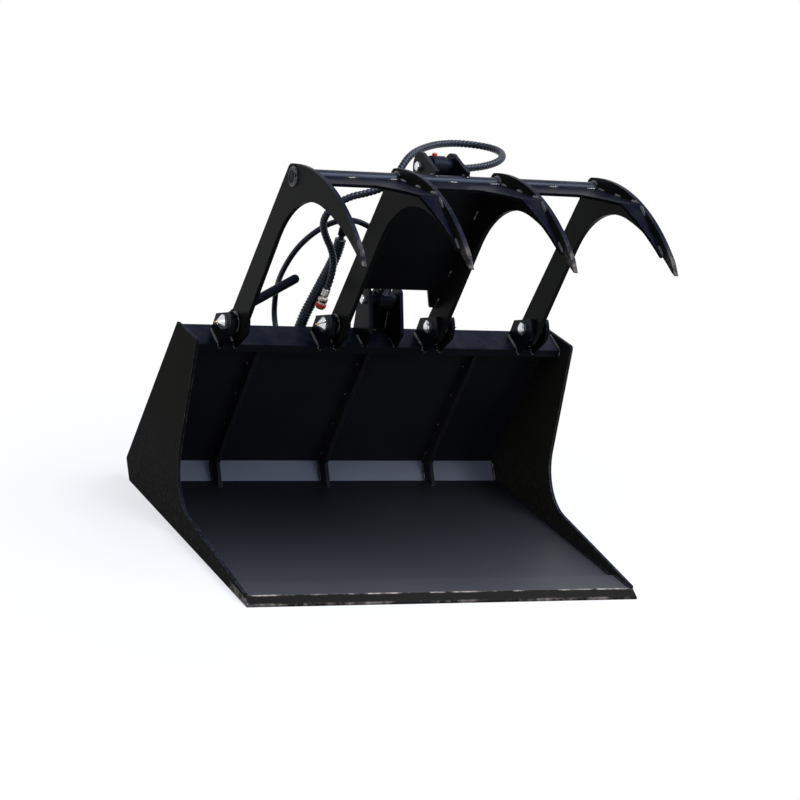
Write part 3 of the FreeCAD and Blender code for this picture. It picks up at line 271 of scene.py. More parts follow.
PAINTED_SHADE_FROM, PAINTED_SHADE_TO = 0.2, -0.44    # the floor is painted lighter between these places along Y: painted shade at the back, painted light at the open front
CLOUDED = (0.02, 0.02, 0.022)
STREAKED = (0.11, 0.11, 0.12)
BEVEL_RIDGE = 0.42               # the cutting edge's ridge lies this far in front of the origin
BEVEL_FRONT = -0.444, -0.45      # places along Y between which its front is scraped
BEVEL_ENDS = 0.549, 0.558        # and distances from the middle between which its ends are
# the blade's colour on faces that turn away from straight up: painted shade
BEVEL_PAINTED_SHADE = (0.005, 0.0045, 0.0038)
BARE_STEEL = (0.22, 0.15, 0.11), (0.6, 0.54, 0.48)
SOIL = (0.12, 0.08, 0.055)


def scuffed_and_shaded_floor(name, back, front, blade=False):
    """A satin floor painted lighter towards the front: painted shade under the back plate and painted light
    at the open front.

    A blade has a scraped and soiled bevel too.
    """
    p = Paint(name)
    # painted shade and light: darker towards the back plate, lighter towards the open front
    painted_light = p.spread(p.split_place()["Y"], PAINTED_SHADE_FROM, PAINTED_SHADE_TO)
    cloud = p.noise(2.5, 2.0, 0.4)
    fine = p.noise(240, 3.0, 0.6)
    base = p.mix(p.maths("POWER", painted_light, 1.7), back, front)
    base = p.mix(p.spread(cloud, 0.35, 0.7, 0.0, 0.2), base, CLOUDED)
    streak = p.spread(p.noise(7, 5.0, 0.65, (26.0, 1.0, 1.0)), 0.64, 0.72)
    base = p.mix(p.maths("MULTIPLY", streak, 0.1), base, STREAKED)
    if blade:
        # painted shade: faces of the blade that turn away from straight up are darker
        base = p.mix(p.spread(p.facing_up(), 0.995, 0.975), base, BEVEL_PAINTED_SHADE)
        place = p.split_place()
        ridge = p.maths("ABSOLUTE", p.maths("ADD", place["Y"], BEVEL_RIDGE), 0)
        ridge = p.spread(ridge, 0.0034, 0.001)
        tip = p.spread(place["Y"], *BEVEL_FRONT, 0.0, 0.45)
        ends = p.spread(p.maths("ABSOLUTE", place["X"], 0), *BEVEL_ENDS)
        reach = p.maths("MAXIMUM", p.maths("MAXIMUM", ridge, tip), p.maths("MULTIPLY", ends, 0.8))
        patches = p.spread(p.noise(17, 6.0, 0.7), 0.44, 0.56)
        scraped = p.maths("MULTIPLY", reach, patches)
        base = p.mix(scraped, base, p.mix(p.spread(p.noise(60, 3.0), 0.35, 0.65), *BARE_STEEL))
        soil = p.spread(p.noise(120, 4.0, 0.7), 0.6, 0.75, 0.0, 0.3)
        base = p.mix(soil, base, SOIL)
    normal = p.bump(fine, 0.06, 0.0004, p.bevel(0.0014))
    return p.finish(base, p.spread(cloud, 0.3, 0.7, 0.42, 0.5), normal, specular=0.06)


def plated(name, colour, darker, roughness=(0.2, 0.36), metallic=1.0):
    """Turned and plated metal with fine turning marks and a little tarnish."""
    p = Paint(name)
    tarnish = p.noise(120, 4.0, 0.6)
    base = p.mix(p.spread(tarnish, 0.4, 0.7), colour, darker)
    fine = p.noise(900, 2.0, 0.5, (6.0, 1.0, 1.0))
    normal = p.bump(fine, 0.08, 0.0003, p.bevel(0.0006))
    return p.finish(base, p.spread(tarnish, 0.3, 0.75, *roughness), normal, metallic=metallic)


def chrome(name):
    p = Paint(name)
    rings = p.noise(260, 2.0, 0.5, (1.0, 1.0, 4.0))
    normal = p.bump(rings, 0.02, 0.0002)
    return p.finish((0.78, 0.79, 0.81), p.spread(rings, 0.3, 0.7, 0.07, 0.14), normal, metallic=1.0)


def hose_cover(name, colour, dusty, roughness, specular):
    """Rubber with a cloth print and a dull bloom."""
    p = Paint(name)
    bloom = p.noise(26, 4.0, 0.6)
    print_marks = p.noise(1500, 2.0, 0.5)
    base = p.mix(p.spread(bloom, 0.4, 0.75), colour, dusty)
    normal = p.bump(print_marks, 0.18, 0.0003)
    sheen = p.spread(bloom, 0.3, 0.7, *roughness)
    return p.finish(base, sheen, normal, specular=specular, tint=SKY_TINT)


def soft_plastic(name, colour, faded):
    p = Paint(name)
    fade = p.noise(60, 3.0, 0.5)
    normal = p.bump(p.noise(700, 2.0), 0.06, 0.0003, p.bevel(0.0006))
    base = p.mix(p.spread(fade, 0.35, 0.7), colour, faded)
    return p.finish(base, p.spread(fade, 0.3, 0.7, 0.32, 0.5), normal, specular=0.3)


def bead_metal(name):
    """A lumpy weld under the same black coat, glossier than the plates."""
    p = Paint(name)
    lumps = p.noise(160, 4.0, 0.6)
    base = p.mix(p.spread(lumps, 0.4, 0.7), (0.008, 0.0085, 0.0105), (0.02, 0.021, 0.025))
    return p.finish(base, p.spread(lumps, 0.3, 0.7, 0.12, 0.28), p.bump(lumps, 0.35, 0.001), specular=0.5)


# painted sky reflection: the bluer colour that upward faces of the coat take
PAINTED_SKY_BLUE = (0.0058, 0.0078, 0.0165)
# colour, cloudy, sky (a painted sky reflection on upward faces) and roughness of the coat that most parts
# have
COAT = (0.0045, 0.0048, 0.0062), (0.0075, 0.008, 0.0105), PAINTED_SKY_BLUE, (0.2, 0.34)
BLACK = painted_steel("black_coat", *COAT, specular=0.03)
TUBE = painted_steel("black_coat_tube", *COAT, specular=0.14)
# painted shade: the webs get a darker copy of the black coat
WEB_PAINTED_SHADE = painted_steel(
    "black_coat_web", (0.0036, 0.0038, 0.005), (0.0056, 0.006, 0.008), (0.004, 0.0051, 0.0105), (0.24, 0.38),
    wear_and_highlight=0.5, dust=0.1, specular=0.006)
SIDE_WEAR_AND_HIGHLIGHT = {"wear_and_highlight": 1.0, "specular": 0.004, "splash": 0.35, "edge": 0.0034}
# painted warm light: the left side plate gets a warmer, olive copy of the black coat about twice as light,
# for the warm light it mirrors from the left
SIDE_PAINTED_WARM = painted_steel(
    "black_coat_side_painted_warm", (0.0092, 0.009, 0.0064), (0.014, 0.0134, 0.0098), PAINTED_SKY_BLUE, **SIDE_WEAR_AND_HIGHLIGHT)
# painted fill light: the cylinder guard gets a lighter copy of the black coat, to lift its shaded front face
SHIELD_PAINTED_FILL = painted_steel(
    "black_coat_shield_painted_fill", (0.0075, 0.0075, 0.0082), (0.0105, 0.0105, 0.0115), PAINTED_SKY_BLUE, (0.3, 0.42),
    specular=0.03)
# painted fill light: the right side plate gets the olive coat about twice as light as the left one, to lift
# its shaded inner face
FAR_SIDE_PAINTED_FILL = painted_steel(
    "black_coat_right_side_painted_fill", (0.0185, 0.018, 0.0145), (0.025, 0.0245, 0.02), PAINTED_SKY_BLUE, **SIDE_WEAR_AND_HIGHLIGHT)
# painted fill light: the back plate and ribs get a black coat about four times as light as the rest, to lift
# the shade under the rail
JAW_PAINTED_FILL = painted_steel(
    "black_coat_inside_painted_fill", (0.018, 0.018, 0.0205), (0.024, 0.024, 0.027), (0.017, 0.0172, 0.0195), (0.4, 0.5),
    wear_and_highlight=0.7, specular=0.06, edge=0.0026)
# painted light: the heel's black coat gets a light grey colour for the sky and sun that it mirrors
HEEL_PAINTED_SKY_LIGHT = painted_steel(
    "black_coat_heel_painted_sky_light", (0.26, 0.268, 0.3), (0.32, 0.328, 0.365), (0.27, 0.278, 0.31), (0.34, 0.44), wear_and_highlight=0.1,
    dust=0.1)
# painted warm light: the tines get a warmer, olive copy of the black coat about twice as light, for the warm
# light they mirror from the left
ARM_PAINTED_WARM = painted_steel(
    "black_coat_arm_painted_warm", (0.0088, 0.0088, 0.0074), (0.013, 0.013, 0.011), PAINTED_SKY_BLUE, (0.26, 0.38), wear_and_highlight=0.4,
    specular=0.015, tips=0.8)
# the floor's back and front colours: painted shade at the back, painted light at the front
PAINTED_SHADE_AND_LIGHT = (0.014, 0.0145, 0.018), (0.062, 0.063, 0.069)
FLOOR = scuffed_and_shaded_floor("floor_painted_shade", *PAINTED_SHADE_AND_LIGHT)
BLADE = scuffed_and_shaded_floor("worn_blade", *PAINTED_SHADE_AND_LIGHT, blade=True)
ZINC = plated("zinc_plate", (0.86, 0.87, 0.89), (0.6, 0.61, 0.64), (0.1, 0.2), metallic=0.8)
WASHER = plated("washer_steel", (0.36, 0.36, 0.37), (0.13, 0.13, 0.14), (0.25, 0.45))
BRASS = plated("nipple_brass", (0.7, 0.5, 0.22), (0.45, 0.32, 0.15))
STEEL = plated("fitting_plate", (0.52, 0.5, 0.47), (0.3, 0.28, 0.26), (0.25, 0.42))
CHROME = chrome("rod_chrome")
GUARD = hose_cover("hose_guard", (0.008, 0.0085, 0.011), (0.021, 0.022, 0.028), (0.12, 0.24), 0.3)
RUBBER = hose_cover("hose_cover", (0.009, 0.0095, 0.0125), (0.018, 0.019, 0.025), (0.16, 0.28), 0.2)
RED = soft_plastic("red_cap", (0.62, 0.035, 0.02), (0.75, 0.09, 0.06))
BEAD = bead_metal("bead_coat")


def finish_of(name):
    if name == "cutting_edge":
        return BLADE
    if name == "left_side_plate":
        return SIDE_PAINTED_WARM
    if name == "right_side_plate":
        return FAR_SIDE_PAINTED_FILL
    if name == "floor_plate":
        return FLOOR
    if name == "heel_plate":
        return HEEL_PAINTED_SKY_LIGHT
    if name in ("back_plate", "rib_left", "rib_middle", "rib_right"):
        return JAW_PAINTED_FILL
    if name.startswith("tine_"):
        return ARM_PAINTED_WARM
    if name.startswith("web_"):
        return WEB_PAINTED_SHADE
    if name == "cross_tube":
        return TUBE
    if name == "cylinder_guard":
        return SHIELD_PAINTED_FILL
    if name.startswith("pivot_pin") or name in ("top_pin", "base_pin", "pivot_nuts"):
        return ZINC
    if name == "thrust_washers":
        return WASHER
    if name == "grease_nipples":
        return BRASS
    if name in ("rod", "piston"):
        return CHROME
    if name in ("port_fittings", "hose_couplings"):
        return STEEL
    if name in ("dust_caps", "grease_cap"):
        return RED
    return BLACK


def dress_nodes():
    for name, node in NODES.items():
        material = finish_of(name)
        if not node.material_slots:
            node.data.materials.append(material)
        for holder in node.material_slots:
            holder.material = material


# Mesh tools

TINY = 1e-7
ROUTE_RESOLUTION = 10            # points that Blender adds between two of a route's own
LATHE_SIDES = 32


def new_piece(name, verts, faces, material, body=None, slot=None, smooth=True):
    mesh = bpy.data.meshes.new(name)
    mesh.from_pydata([tuple(v) for v in verts], [], faces)
    mesh.validate()
    mesh.materials.append(material)
    for polygon in mesh.polygons:
        polygon.use_smooth = smooth
    piece = bpy.data.objects.new(name, mesh)
    bpy.context.scene.collection.objects.link(piece)
    if body is not None:
        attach(piece, body)
    return piece


def spline_line(points):
    """Points along a smooth NURBS line whose control points are these."""
    curve = bpy.data.curves.new("route", "CURVE")
    curve.dimensions = "3D"
    spline = curve.splines.new("NURBS")
    spline.points.add(len(points) - 1)
    for place, point in zip(spline.points, points):
        place.co = (*point, 1.0)
    spline.order_u = 3
    spline.use_endpoint_u = True
    spline.resolution_u = ROUTE_RESOLUTION
    holder = bpy.data.objects.new("route", curve)
    bpy.context.scene.collection.objects.link(holder)
    bpy.context.view_layer.update()
    mesh = bpy.data.meshes.new_from_object(holder)
    line = [v.co.copy() for v in mesh.vertices]
    bpy.data.objects.remove(holder)
    bpy.data.curves.remove(curve)
    bpy.data.meshes.remove(mesh)
    return line


def distances(line):
    """How far along the line each of its points lies."""
    places = [0.0]
    for a, b in zip(line, line[1:]):
        places.append(places[-1] + (b - a).length)
    return places


def even_line(line, step):
    """The same line with points at an even spacing near step."""
    lengths = distances(line)
    count = max(2, round(lengths[-1] / step))
    result = []
    index = 0
    for k in range(count + 1):
        goal = lengths[-1] * k / count
        while index < len(line) - 2 and lengths[index + 1] < goal:
            index += 1
        run = lengths[index + 1] - lengths[index]
        share = (goal - lengths[index]) / run if run else 0.0
        result.append(line[index].lerp(line[index + 1], min(max(share, 0.0), 1.0)))
    return result


def line_length(line):
    return distances(line)[-1]


def frames_along(line):
    """Two cross directions at each point that turn as little as they can."""
    last = len(line) - 1
    tangents = [(line[min(k + 1, last)] - line[max(k - 1, 0)]).normalized() for k in range(last + 1)]
    side = tangents[0].orthogonal().normalized()
    frames = []
    for tangent in tangents:
        side = (side - tangent * side.dot(tangent)).normalized()
        frames.append((side, tangent.cross(side)))
    return frames


def tube_mesh(line, radius, around):
    """Verts and faces of a closed tube; radius is a function of (distance, angle)."""
    verts = []
    faces = []
    for centre, distance, (side, other) in zip(line, distances(line), frames_along(line)):
        for j in range(around):
            angle = 2 * math.pi * j / around
            reach = radius(distance, angle)
            verts.append(centre + side * (reach * math.cos(angle)) + other * (reach * math.sin(angle)))
    for k in range(len(line) - 1):
        for j in range(around):
            a = k * around + j
            b = k * around + (j + 1) % around
            faces.append((a, b, b + around, a + around))
    faces.append(tuple(reversed(range(around))))
    faces.append(tuple(range(len(verts) - around, len(verts))))
    return verts, faces


def lathe_mesh(profile, origin, axis):
    """Verts and faces of a turned form from (along, out) points."""
    axis = axis.normalized()
    side = axis.orthogonal().normalized()
    other = axis.cross(side)
    verts = []
    rings = []
    for along, out in profile:
        if out < TINY:
            rings.append([len(verts)])
            verts.append(origin + axis * along)
            continue
        ring = []
        for j in range(LATHE_SIDES):
            angle = 2 * math.pi * j / LATHE_SIDES
            ring.append(len(verts))
            verts.append(origin + axis * along + (side * math.cos(angle) + other * math.sin(angle)) * out)
        rings.append(ring)
    faces = []
    for first, second in zip(rings, rings[1:]):
        if len(first) == 1 and len(second) == 1:
            continue
        for j in range(LATHE_SIDES):
            n = (j + 1) % LATHE_SIDES
            if len(first) == 1:
                faces.append((first[0], second[n], second[j]))
            elif len(second) == 1:
                faces.append((first[j], first[n], second[0]))
            else:
                faces.append((first[j], first[n], second[n], second[j]))
    return verts, faces


class Heap:
    """Gathers many small forms into one mesh."""

    def __init__(self):
        self.verts = []
        self.faces = []

    def add(self, form):
        verts, faces = form
        start = len(self.verts)
        self.verts += verts
        self.faces += [tuple(start + i for i in face) for face in faces]

    def piece(self, name, material, body, slot):
        return new_piece(name, self.verts, self.faces, material, body, slot)


# Hoses

HOSE_ROUTES = {
    "upper": [
        at(39.4, 534.5, 1005.2), at(93.6, 530.5, 1013.9),
        at(146, 533, 1018), at(196, 544, 1024), at(243, 572, 1031), at(274, 618, 1036), at(281, 675, 1036),
        at(255, 725, 1032), at(204, 751, 1029), at(147, 743, 1027), at(94, 711, 1026), at(41, 671, 1022),
        at(-3, 630, 1012), at(-36, 600, 981), at(-71, 584, 943), at(-122, 590, 921), at(-168, 597, 908),
        at(-204, 617, 874), at(-214, 647, 826), at(-188, 672, 778), at(-150, 687, 728), at(-133, 699, 672),
        at(-142, 706, 618),
    ],
    "lower": [
        at(-32.8, 633.5, 788.8), at(-77.8, 620.3, 817.5),
        at(-127, 635, 835), at(-172, 670, 818), at(-206, 716, 768), at(-226, 758, 712), at(-233, 798, 650),
        at(-226, 842, 594), at(-208, 887, 540), at(-202, 888, 476), at(-199, 846, 432), at(-197, 786, 432),
        at(-191, 743, 474), at(-178, 744, 533), at(-159, 743, 581), at(-143, 736, 633), at(-130, 724, 683),
        at(-123, 714, 728), at(-122, 708, 770),
    ],
}
# the radius, the depth and pitch of the winding's gap, and half its width as a share of the pitch
HOSE_SIZES = {
    "upper": (0.0100, 0.0018, 0.0110, 0.28),
    "lower": (0.0080, 0.0005, 0.0060, 0.3),
}
HOSE_STEP = 0.0016               # spacing of a hose's rings
HOSE_SIDES = 20


def bend_with_clamp(piece):
    """Bakes the piece's placement into its mesh."""
    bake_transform(piece)


def wound(radius, depth, pitch, gap):
    """A tube wound with a flat strip: the radius drops by depth in a narrow helical gap."""
    def reach(distance, angle):
        turn = (distance / pitch + angle / (2 * math.pi)) % 1.0
        off = min(turn, 1 - turn) / gap
        if off >= 1:
            return radius
        return radius - depth * (0.5 + 0.5 * math.cos(math.pi * off))
    return reach


def millimetres(*profile):
    """A turned form's (along, out) points in metres."""
    return [(along / 1000, out / 1000) for along, out in profile]


COUPLING = millimetres(
    (0, 0), (0, 11), (1, 11.4), (3, 10.6), (5, 11.4), (7, 10.6), (9, 11.4), (11, 10.6), (13, 11.4),
    (15, 10.6), (17, 11.4), (20, 10.8), (20.5, 7.7), (25, 7.7), (25.4, 13), (27, 14), (37, 14), (37.6, 11.2),
    (40.4, 11.2), (41, 14), (50, 14), (52, 12.8), (52, 0),
)
CAP = millimetres(
    (-10, 0), (-10, 14.9), (-9, 15.3), (0.6, 15.3), (1.6, 14.4), (2.2, 12.2), (5, 11.8), (6.6, 10.2), (7, 7),
    (7, 0),
)
WRAP = (0.0158, 0.0022, 0.0085, 0.32)    # the same numbers for the spiral sleeve on the lower hose
WRAP_SIDES = 24
WRAP_FROM, WRAP_TO = 0.71, 0.99  # the shares of the hose's length that the sleeve covers


def make_hoses():
    for name, route in HOSE_ROUTES.items():
        centre = spline_line(route)
        line = even_line(centre, HOSE_STEP)
        form = tube_mesh(line, wound(*HOSE_SIZES[name]), HOSE_SIDES)
        hose = new_piece("hose_%s_tube" % name, *form, GUARD if name == "upper" else RUBBER)
        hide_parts("hose_" + name)
        end = route[-1]
        axis = (route[-1] - route[-2]).normalized()
        metal = STEEL if name == "upper" else BLACK
        coupling = new_piece("coupling_" + name, *lathe_mesh(COUPLING, end, axis), metal)
        cap = new_piece("cap_" + name, *lathe_mesh(CAP, end + axis * COUPLING[-1][0], axis), RED)
        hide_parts("hose_couplings")
        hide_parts("dust_caps")
        on_cord = [coupling, cap]
        if name == "lower":
            last = len(line) - 1
            covered = line[round(WRAP_FROM * last):round(WRAP_TO * last)]
            sleeve = new_piece("hose_sleeve", *tube_mesh(covered, wound(*WRAP), WRAP_SIDES), GUARD)
            on_cord.append(sleeve)
        for piece in [hose] + on_cord:
            bend_with_clamp(piece)


# Weld beads

UNWELDED = (
    "pivot_pin", "pivot_nuts", "thrust_washers", "grease", "top_pin", "base_pin", "top_spacers",
    "base_spacers", "port_fittings", "hose_upper", "hose_lower", "hose_couplings", "dust_caps", "rod",
    "piston", "gland",
)
TOUCH = 0.0006                   # two faces this close are welded together
SHARP = 0.35                     # an edge that turns less than this, in radians, carries no weld
DEEP = 0.03                      # how far inside a solid a point is still known to be inside
PROBE = 0.002                    # the ground is felt for this far out from an edge
EDGE_MARGIN = 0.02               # and this share of the edge in from its two ends
RISING = 0.3                     # a face stands on the ground if it rises from it by at least this sine
ASIDE = 0.4                      # and faces along the ground by at least this share
MEETING = 0.0012                 # runs whose ends are this close become one
ALIKE = 0.75                     # if their directions agree by this cosine
SAMPLE = 0.004                   # spacing of the points tried along an edge
BEAD_STEP = 0.0024               # spacing of a bead's rings
BEAD_PITCH = 0.0072              # spacing of its ripples
BEAD_SIZES = {"tine": 0.0065, "web": 0.006, "cylinder_guard": 0.0055, "clevis": 0.0065, "base_ear": 0.006}
BEAD_USUAL = 0.005
BEAD_SHORTEST = 0.008
BEAD_ROOT = 0.0004               # a bead starts this deep in the corner
BEAD_ARC = 5                     # points across its face
BEAD_ROUND = 0.55                # 0 makes its face flat and 1 a quarter circle
BEAD_TAPER = 0.45                # its size at its ends, and its growth from there over its own size
BEAD_RIPPLE = 0.1
BEAD_LUMPS, LUMP_SCALE = 0.28, 55
BEAD_SWELL = 1.4                 # the most that its ripples and lumps widen it
BEAD_CORE = 0.6                  # a third piece covers a bead if it holds the point this far out
STITCHED = ("web", "cylinder_guard", "rib", "left_side", "right_side")
STITCH = (0.034, 0.11)           # a stitch's length and the spacing of stitches
FORMED = ("back_plate", "heel_plate", "floor_plate", "cutting_edge")


class Shell:
    """A node's mesh with its sharp edges and a tree for the nearest point."""

    def __init__(self, name):
        form = bmesh.new()
        form.from_mesh(NODES[name].data)
        bmesh.ops.remove_doubles(form, verts=form.verts, dist=1e-6)
        form.normal_update()
        self.name = name
        self.low, self.high = (Vector(corner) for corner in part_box(name))
        self.tree = BVHTree.FromBMesh(form)
        self.edges = []
        for edge in form.edges:
            if len(edge.link_faces) == 2 and edge.calc_face_angle(0.0) > SHARP:
                a, b = (v.co.copy() for v in edge.verts)
                sides = []
                for face in edge.link_faces:
                    inward = face.calc_center_median() - a
                    along = (b - a).normalized()
                    inward -= along * inward.dot(along)
                    if inward.length > TINY:
                        sides.append((face.normal.copy(), inward.normalized()))
                self.edges.append((a, b, sides))
        form.free()

    def near(self, other):
        return all(
            self.low[k] - TOUCH < other.high[k] and other.low[k] - TOUCH < self.high[k] for k in range(3))

    def touches(self, point):
        found = self.tree.find_nearest(point, TOUCH)
        return found[1] if found[0] is not None else None

    def holds(self, point):
        location, normal, _, _ = self.tree.find_nearest(point, DEEP)
        return location is not None and (point - location).dot(normal) < 0


def corner_at(point, sides, shell):
    """The two directions of the fillet where a face of one piece stands on another, or nothing."""
    ground = shell.touches(point)
    if ground is None:
        return None
    for normal, inward in sides:
        outward = normal - ground * normal.dot(ground)
        if inward.dot(ground) < RISING or outward.length < ASIDE:
            continue
        outward.normalize()
        if shell.touches(point + outward * PROBE) is not None:
            return outward, inward
    return None


def seams_between(shell, other):
    """Runs of (point, outward, upward) where an edge of the first shell lies on the other."""
    runs = []
    for a, b, sides in shell.edges:
        count = max(2, math.ceil((b - a).length / SAMPLE))
        run = []
        for k in range(count + 1):
            share = min(max(k / count, EDGE_MARGIN), 1 - EDGE_MARGIN)
            corner = corner_at(a.lerp(b, share), sides, other)
            if corner is not None:
                run.append((a.lerp(b, k / count), *corner))
            if (corner is None or k == count) and run:
                if len(run) > 1:
                    runs.append(run)
                run = []
    return runs


def joined(runs):
    """Runs whose ends meet and lean alike become one."""
    left = list(runs)
    lines = []
    while left:
        line = left.pop()
        grew = True
        while grew:
            grew = False
            for k, run in enumerate(left):
                for piece in (run, run[::-1]):
                    if fits(line[-1], piece[0]):
                        line = line + piece[1:]
                        grew = True
                    elif fits(piece[-1], line[0]):
                        line = piece + line[1:]
                        grew = True
                    if grew:
                        break
                if grew:
                    left.pop(k)
                    break
        lines.append(line)
    return lines


def fits(a, b):
    return (a[0] - b[0]).length < MEETING and a[1].dot(b[1]) > ALIKE and a[2].dot(b[2]) > ALIKE


def in_cad_box(point):
    return all(low <= value <= high for low, value, high in zip(CAD_BOX[0], point, CAD_BOX[1]))


def open_parts(line, shells, size):
    """The parts of a seam that no third piece covers and where a bead stays inside the solids' box."""
    parts = [[]]
    for point, outward, upward in line:
        core = point + (outward + upward) * (BEAD_CORE * size)
        toes = [point + way * (BEAD_SWELL * size) for way in (outward, upward)]
        if any(shell.holds(core) for shell in shells) or not all(in_cad_box(toe) for toe in toes):
            parts.append([])
        else:
            parts[-1].append((point, outward, upward))
    return [part for part in parts if len(part) > 1]


def stitches(line):
    """Short equal parts along a seam, one at each end and the rest evenly between."""
    places = distances([row[0] for row in line])
    length, spacing = STITCH
    count = max(1, round((places[-1] - length) / spacing))
    parts = []
    for k in range(count + 1):
        start = (places[-1] - length) * k / count
        low, high = start - SAMPLE / 2, start + length + SAMPLE / 2
        part = [row for row, place in zip(line, places) if low <= place <= high]
        if len(part) > 1:
            parts.append(part)
    return parts


def bead_mesh(line, size):
    """A rippled fillet along a seam, tapered at its two ends."""
    places = distances([row[0] for row in line])
    total = places[-1]
    count = max(3, round(total / BEAD_STEP))
    verts = []
    index = 0
    for k in range(count + 1):
        goal = total * k / count
        while index < len(line) - 2 and places[index + 1] < goal:
            index += 1
        run = places[index + 1] - places[index]
        share = min(max((goal - places[index]) / run if run else 0.0, 0.0), 1.0)
        point, outward, upward = (line[index][j].lerp(line[index + 1][j], share) for j in range(3))
        ripple = BEAD_RIPPLE * math.cos(2 * math.pi * goal / BEAD_PITCH)
        lumps = BEAD_LUMPS * noise.noise(point * LUMP_SCALE)
        end = min(goal, total - goal)
        reach = size * (1 + ripple + lumps) * min(1.0, BEAD_TAPER + end / size * BEAD_TAPER)
        verts.append(point - (outward + upward) * BEAD_ROOT)
        for turn in range(BEAD_ARC):
            angle = math.pi / 2 * turn / (BEAD_ARC - 1)
            flat = 1 - turn / (BEAD_ARC - 1)
            along = (1 - BEAD_ROUND) * flat + BEAD_ROUND * math.cos(angle)
            above = (1 - BEAD_ROUND) * (1 - flat) + BEAD_ROUND * math.sin(angle)
            verts.append(point + outward * (reach * along) + upward * (reach * above))
    faces = []
    ring = BEAD_ARC + 1
    for k in range(count):
        for j in range(ring):
            a = ring * k + j
            b = ring * k + (j + 1) % ring
            faces.append((a, b, b + ring, a + ring))
    faces.append(tuple(reversed(range(ring))))
    faces.append(tuple(range(ring * count, ring * count + ring)))
    return verts, faces


def bead_size(name):
    for start, size in BEAD_SIZES.items():
        if name.startswith(start):
            return size
    return BEAD_USUAL


PLUG = millimetres((-6, 0), (-6, 15.9), (-1.6, 15.9), (-0.8, 13.5), (-0.2, 8), (0, 0))


def make_tube_plugs():
    """A domed plug welded into each end of the cross tube."""
    low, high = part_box("cross_tube")
    centre = (Vector(low) + Vector(high)) / 2
    for name, x, way in (("tube_plug_left", low[0], -1), ("tube_plug_right", high[0], 1)):
        form = lathe_mesh(PLUG, Vector((x, centre.y, centre.z)), Vector((way, 0, 0)))
        new_piece(name, *form, BLACK, "clamp", "black_paint")


def make_beads():
    """Each welded edge of each steel body gets its bead."""
    for body, names in frame["record"]["behaviour"]["bodies"].items():
        shells = [Shell(name) for name in sorted(names) if not name.startswith(UNWELDED)]
        for shell in shells:
            heap = Heap()
            size = bead_size(shell.name)
            for other in shells:
                if other is shell or not shell.near(other):
                    continue
                if shell.name in FORMED and other.name in FORMED:
                    continue
                third = [s for s in shells if s is not shell and s is not other and s.near(shell)]
                for line in joined(seams_between(shell, other)):
                    for part in open_parts(line, third, size):
                        length = line_length([row[0] for row in part])
                        if length > STITCH[1] and shell.name.startswith(STITCHED):
                            for stitch in stitches(part):
                                heap.add(bead_mesh(stitch, size))
                        elif length > BEAD_SHORTEST:
                            heap.add(bead_mesh(part, size))
            if heap.verts:
                heap.piece("bead_" + shell.name, BEAD, body, "black_paint")


# Floor, world and lamps

FLOOR_BOUNCE = (0.2, 0.2, 0.17)  # the floor's colour for the light that it throws back
FLOOR_REACH = 40
FLOOR_LEVEL = -0.0005
SKY = [                          # heights above the horizon and the sky's colours there
    (0.0, (0.12, 0.12, 0.095)),
    (0.12, (0.2, 0.205, 0.19)),
    (0.45, (0.2, 0.27, 0.46)),
    (1.0, (0.24, 0.34, 0.7)),
]


def background_rays(tree):
    """1 for the rays that see the background: the camera's own, mirrored ones and those through glass."""
    rays = tree.nodes.new("ShaderNodeLightPath")
    share = rays.outputs["Is Camera Ray"]
    for name in ("Is Glossy Ray", "Is Transmission Ray"):
        either = tree.nodes.new("ShaderNodeMath")
        either.operation = "MAXIMUM"
        tree.links.new(share, either.inputs[0])
        tree.links.new(rays.outputs[name], either.inputs[1])
        share = either.outputs["Value"]
    return share


def make_stage():
    """A pale floor that keeps the shadow near the part and fades to plain white around it."""
    p = Paint("studio_floor")
    seen = background_rays(p.tree)
    base = p.mix(p.noise(0.6, 3.0), (0.88, 0.88, 0.885), (0.91, 0.91, 0.915))
    p.finish(p.mix(seen, FLOOR_BOUNCE, base), 0.9, specular=0.1)
    away = p.add("ShaderNodeVectorMath", operation="LENGTH")
    p.join(p.place, away.inputs[0])
    white = p.add("ShaderNodeEmission")
    white.inputs["Strength"].default_value = 1.0
    share = p.maths("MULTIPLY", seen, p.spread(away.outputs["Value"], 0.4, 1.3, 0.6, 1.0))
    both = p.add("ShaderNodeMixShader")
    p.join(share, both.inputs["Fac"])
    p.join(p.shader.outputs["BSDF"], both.inputs[1])
    p.join(white.outputs["Emission"], both.inputs[2])
    p.join(both.outputs["Shader"], p.tree.nodes["Material Output"].inputs["Surface"])
    low, high = -FLOOR_REACH, FLOOR_REACH
    corners = [Vector((x, y, FLOOR_LEVEL)) for x, y in ((low, low), (high, low), (high, high), (low, high))]
    floor = new_piece("studio_floor", corners, [(0, 1, 2, 3)], p.material, smooth=False)


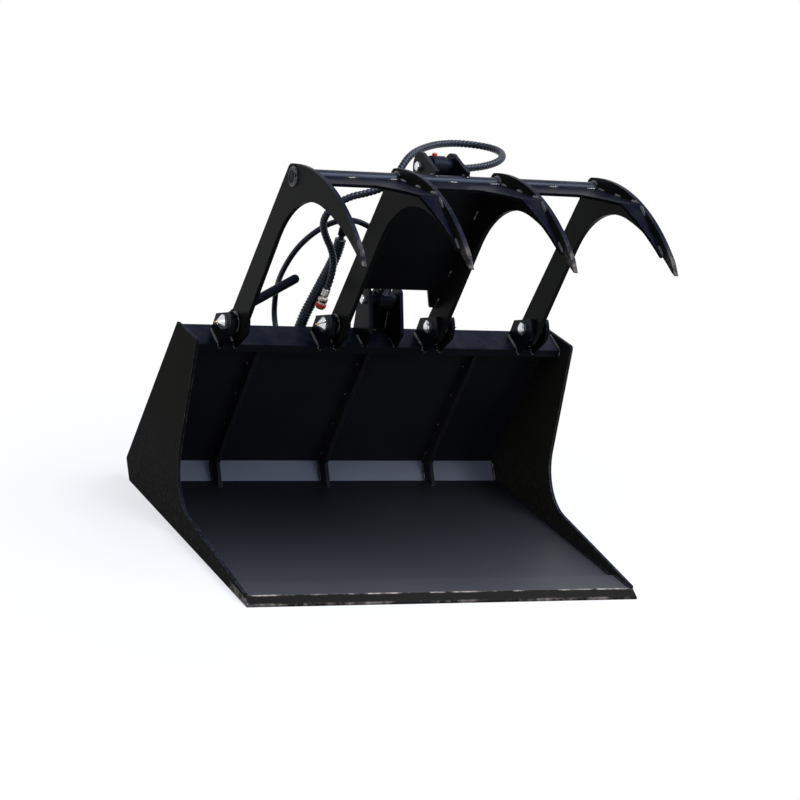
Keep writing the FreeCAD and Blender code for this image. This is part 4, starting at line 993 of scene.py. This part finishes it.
def make_world():
    """Open sky for the light: dull at the horizon, blue overhead, and white where it is seen or mirrored."""
    world = bpy.data.worlds.new("studio")
    bpy.context.scene.world = world
    world.use_nodes = True
    tree = world.node_tree
    tree.nodes.clear()
    place = tree.nodes.new("ShaderNodeTexCoord")
    split = tree.nodes.new("ShaderNodeSeparateXYZ")
    tree.links.new(place.outputs["Generated"], split.inputs["Vector"])
    ramp = tree.nodes.new("ShaderNodeValToRGB")
    for element, (position, colour) in zip(ramp.color_ramp.elements, (SKY[0], SKY[-1])):
        element.position = position
        element.color = (*colour, 1)
    for position, colour in SKY[1:-1]:
        ramp.color_ramp.elements.new(position).color = (*colour, 1)
    tree.links.new(split.outputs["Z"], ramp.inputs["Fac"])
    mix = tree.nodes.new("ShaderNodeMix")
    mix.data_type = "RGBA"
    tree.links.new(background_rays(tree), mix.inputs["Factor"])
    tree.links.new(ramp.outputs["Color"], mix.inputs[6])
    mix.inputs[7].default_value = (1, 1, 1, 1)
    background = tree.nodes.new("ShaderNodeBackground")
    tree.links.new(mix.outputs[2], background.inputs["Color"])
    background.inputs["Strength"].default_value = 1.0
    output = tree.nodes.new("ShaderNodeOutputWorld")
    tree.links.new(background.outputs["Background"], output.inputs["Surface"])


def lamp(name, place, target, size, power, colour):
    data = bpy.data.lights.new(name, "AREA")
    data.shape = "RECTANGLE"
    data.size = size[0]
    data.size_y = size[1]
    data.energy = power
    data.color = colour
    light = bpy.data.objects.new(name, data)
    bpy.context.scene.collection.objects.link(light)
    look = (Vector(target) - Vector(place)).to_track_quat("-Z", "Y")
    light.matrix_world = Matrix.Translation(place) @ look.to_matrix().to_4x4()


def make_lamps():
    lamp("overhead", (1.5, -1.3, 5.0), (0, 0, 0.4), (2.8, 2.8), 300, (0.94, 0.97, 1.0))
    lamp("left", (-5.0, -1.5, 2.6), (0, 0, 0.4), (1.8, 1.8), 38, (1.0, 0.93, 0.8))
    lamp("front", (2.5, -6.0, 3.4), (0, 0, 0.3), (1.2, 1.2), 30, (1.0, 1.0, 1.0))


def main():
    scene = bpy.context.scene
    scene.view_settings.view_transform = "Standard"
    make_camera()
    make_world()
    make_lamps()
    make_stage()
    dress_nodes()
    make_hoses()
    make_tube_plugs()
    make_beads()


main()
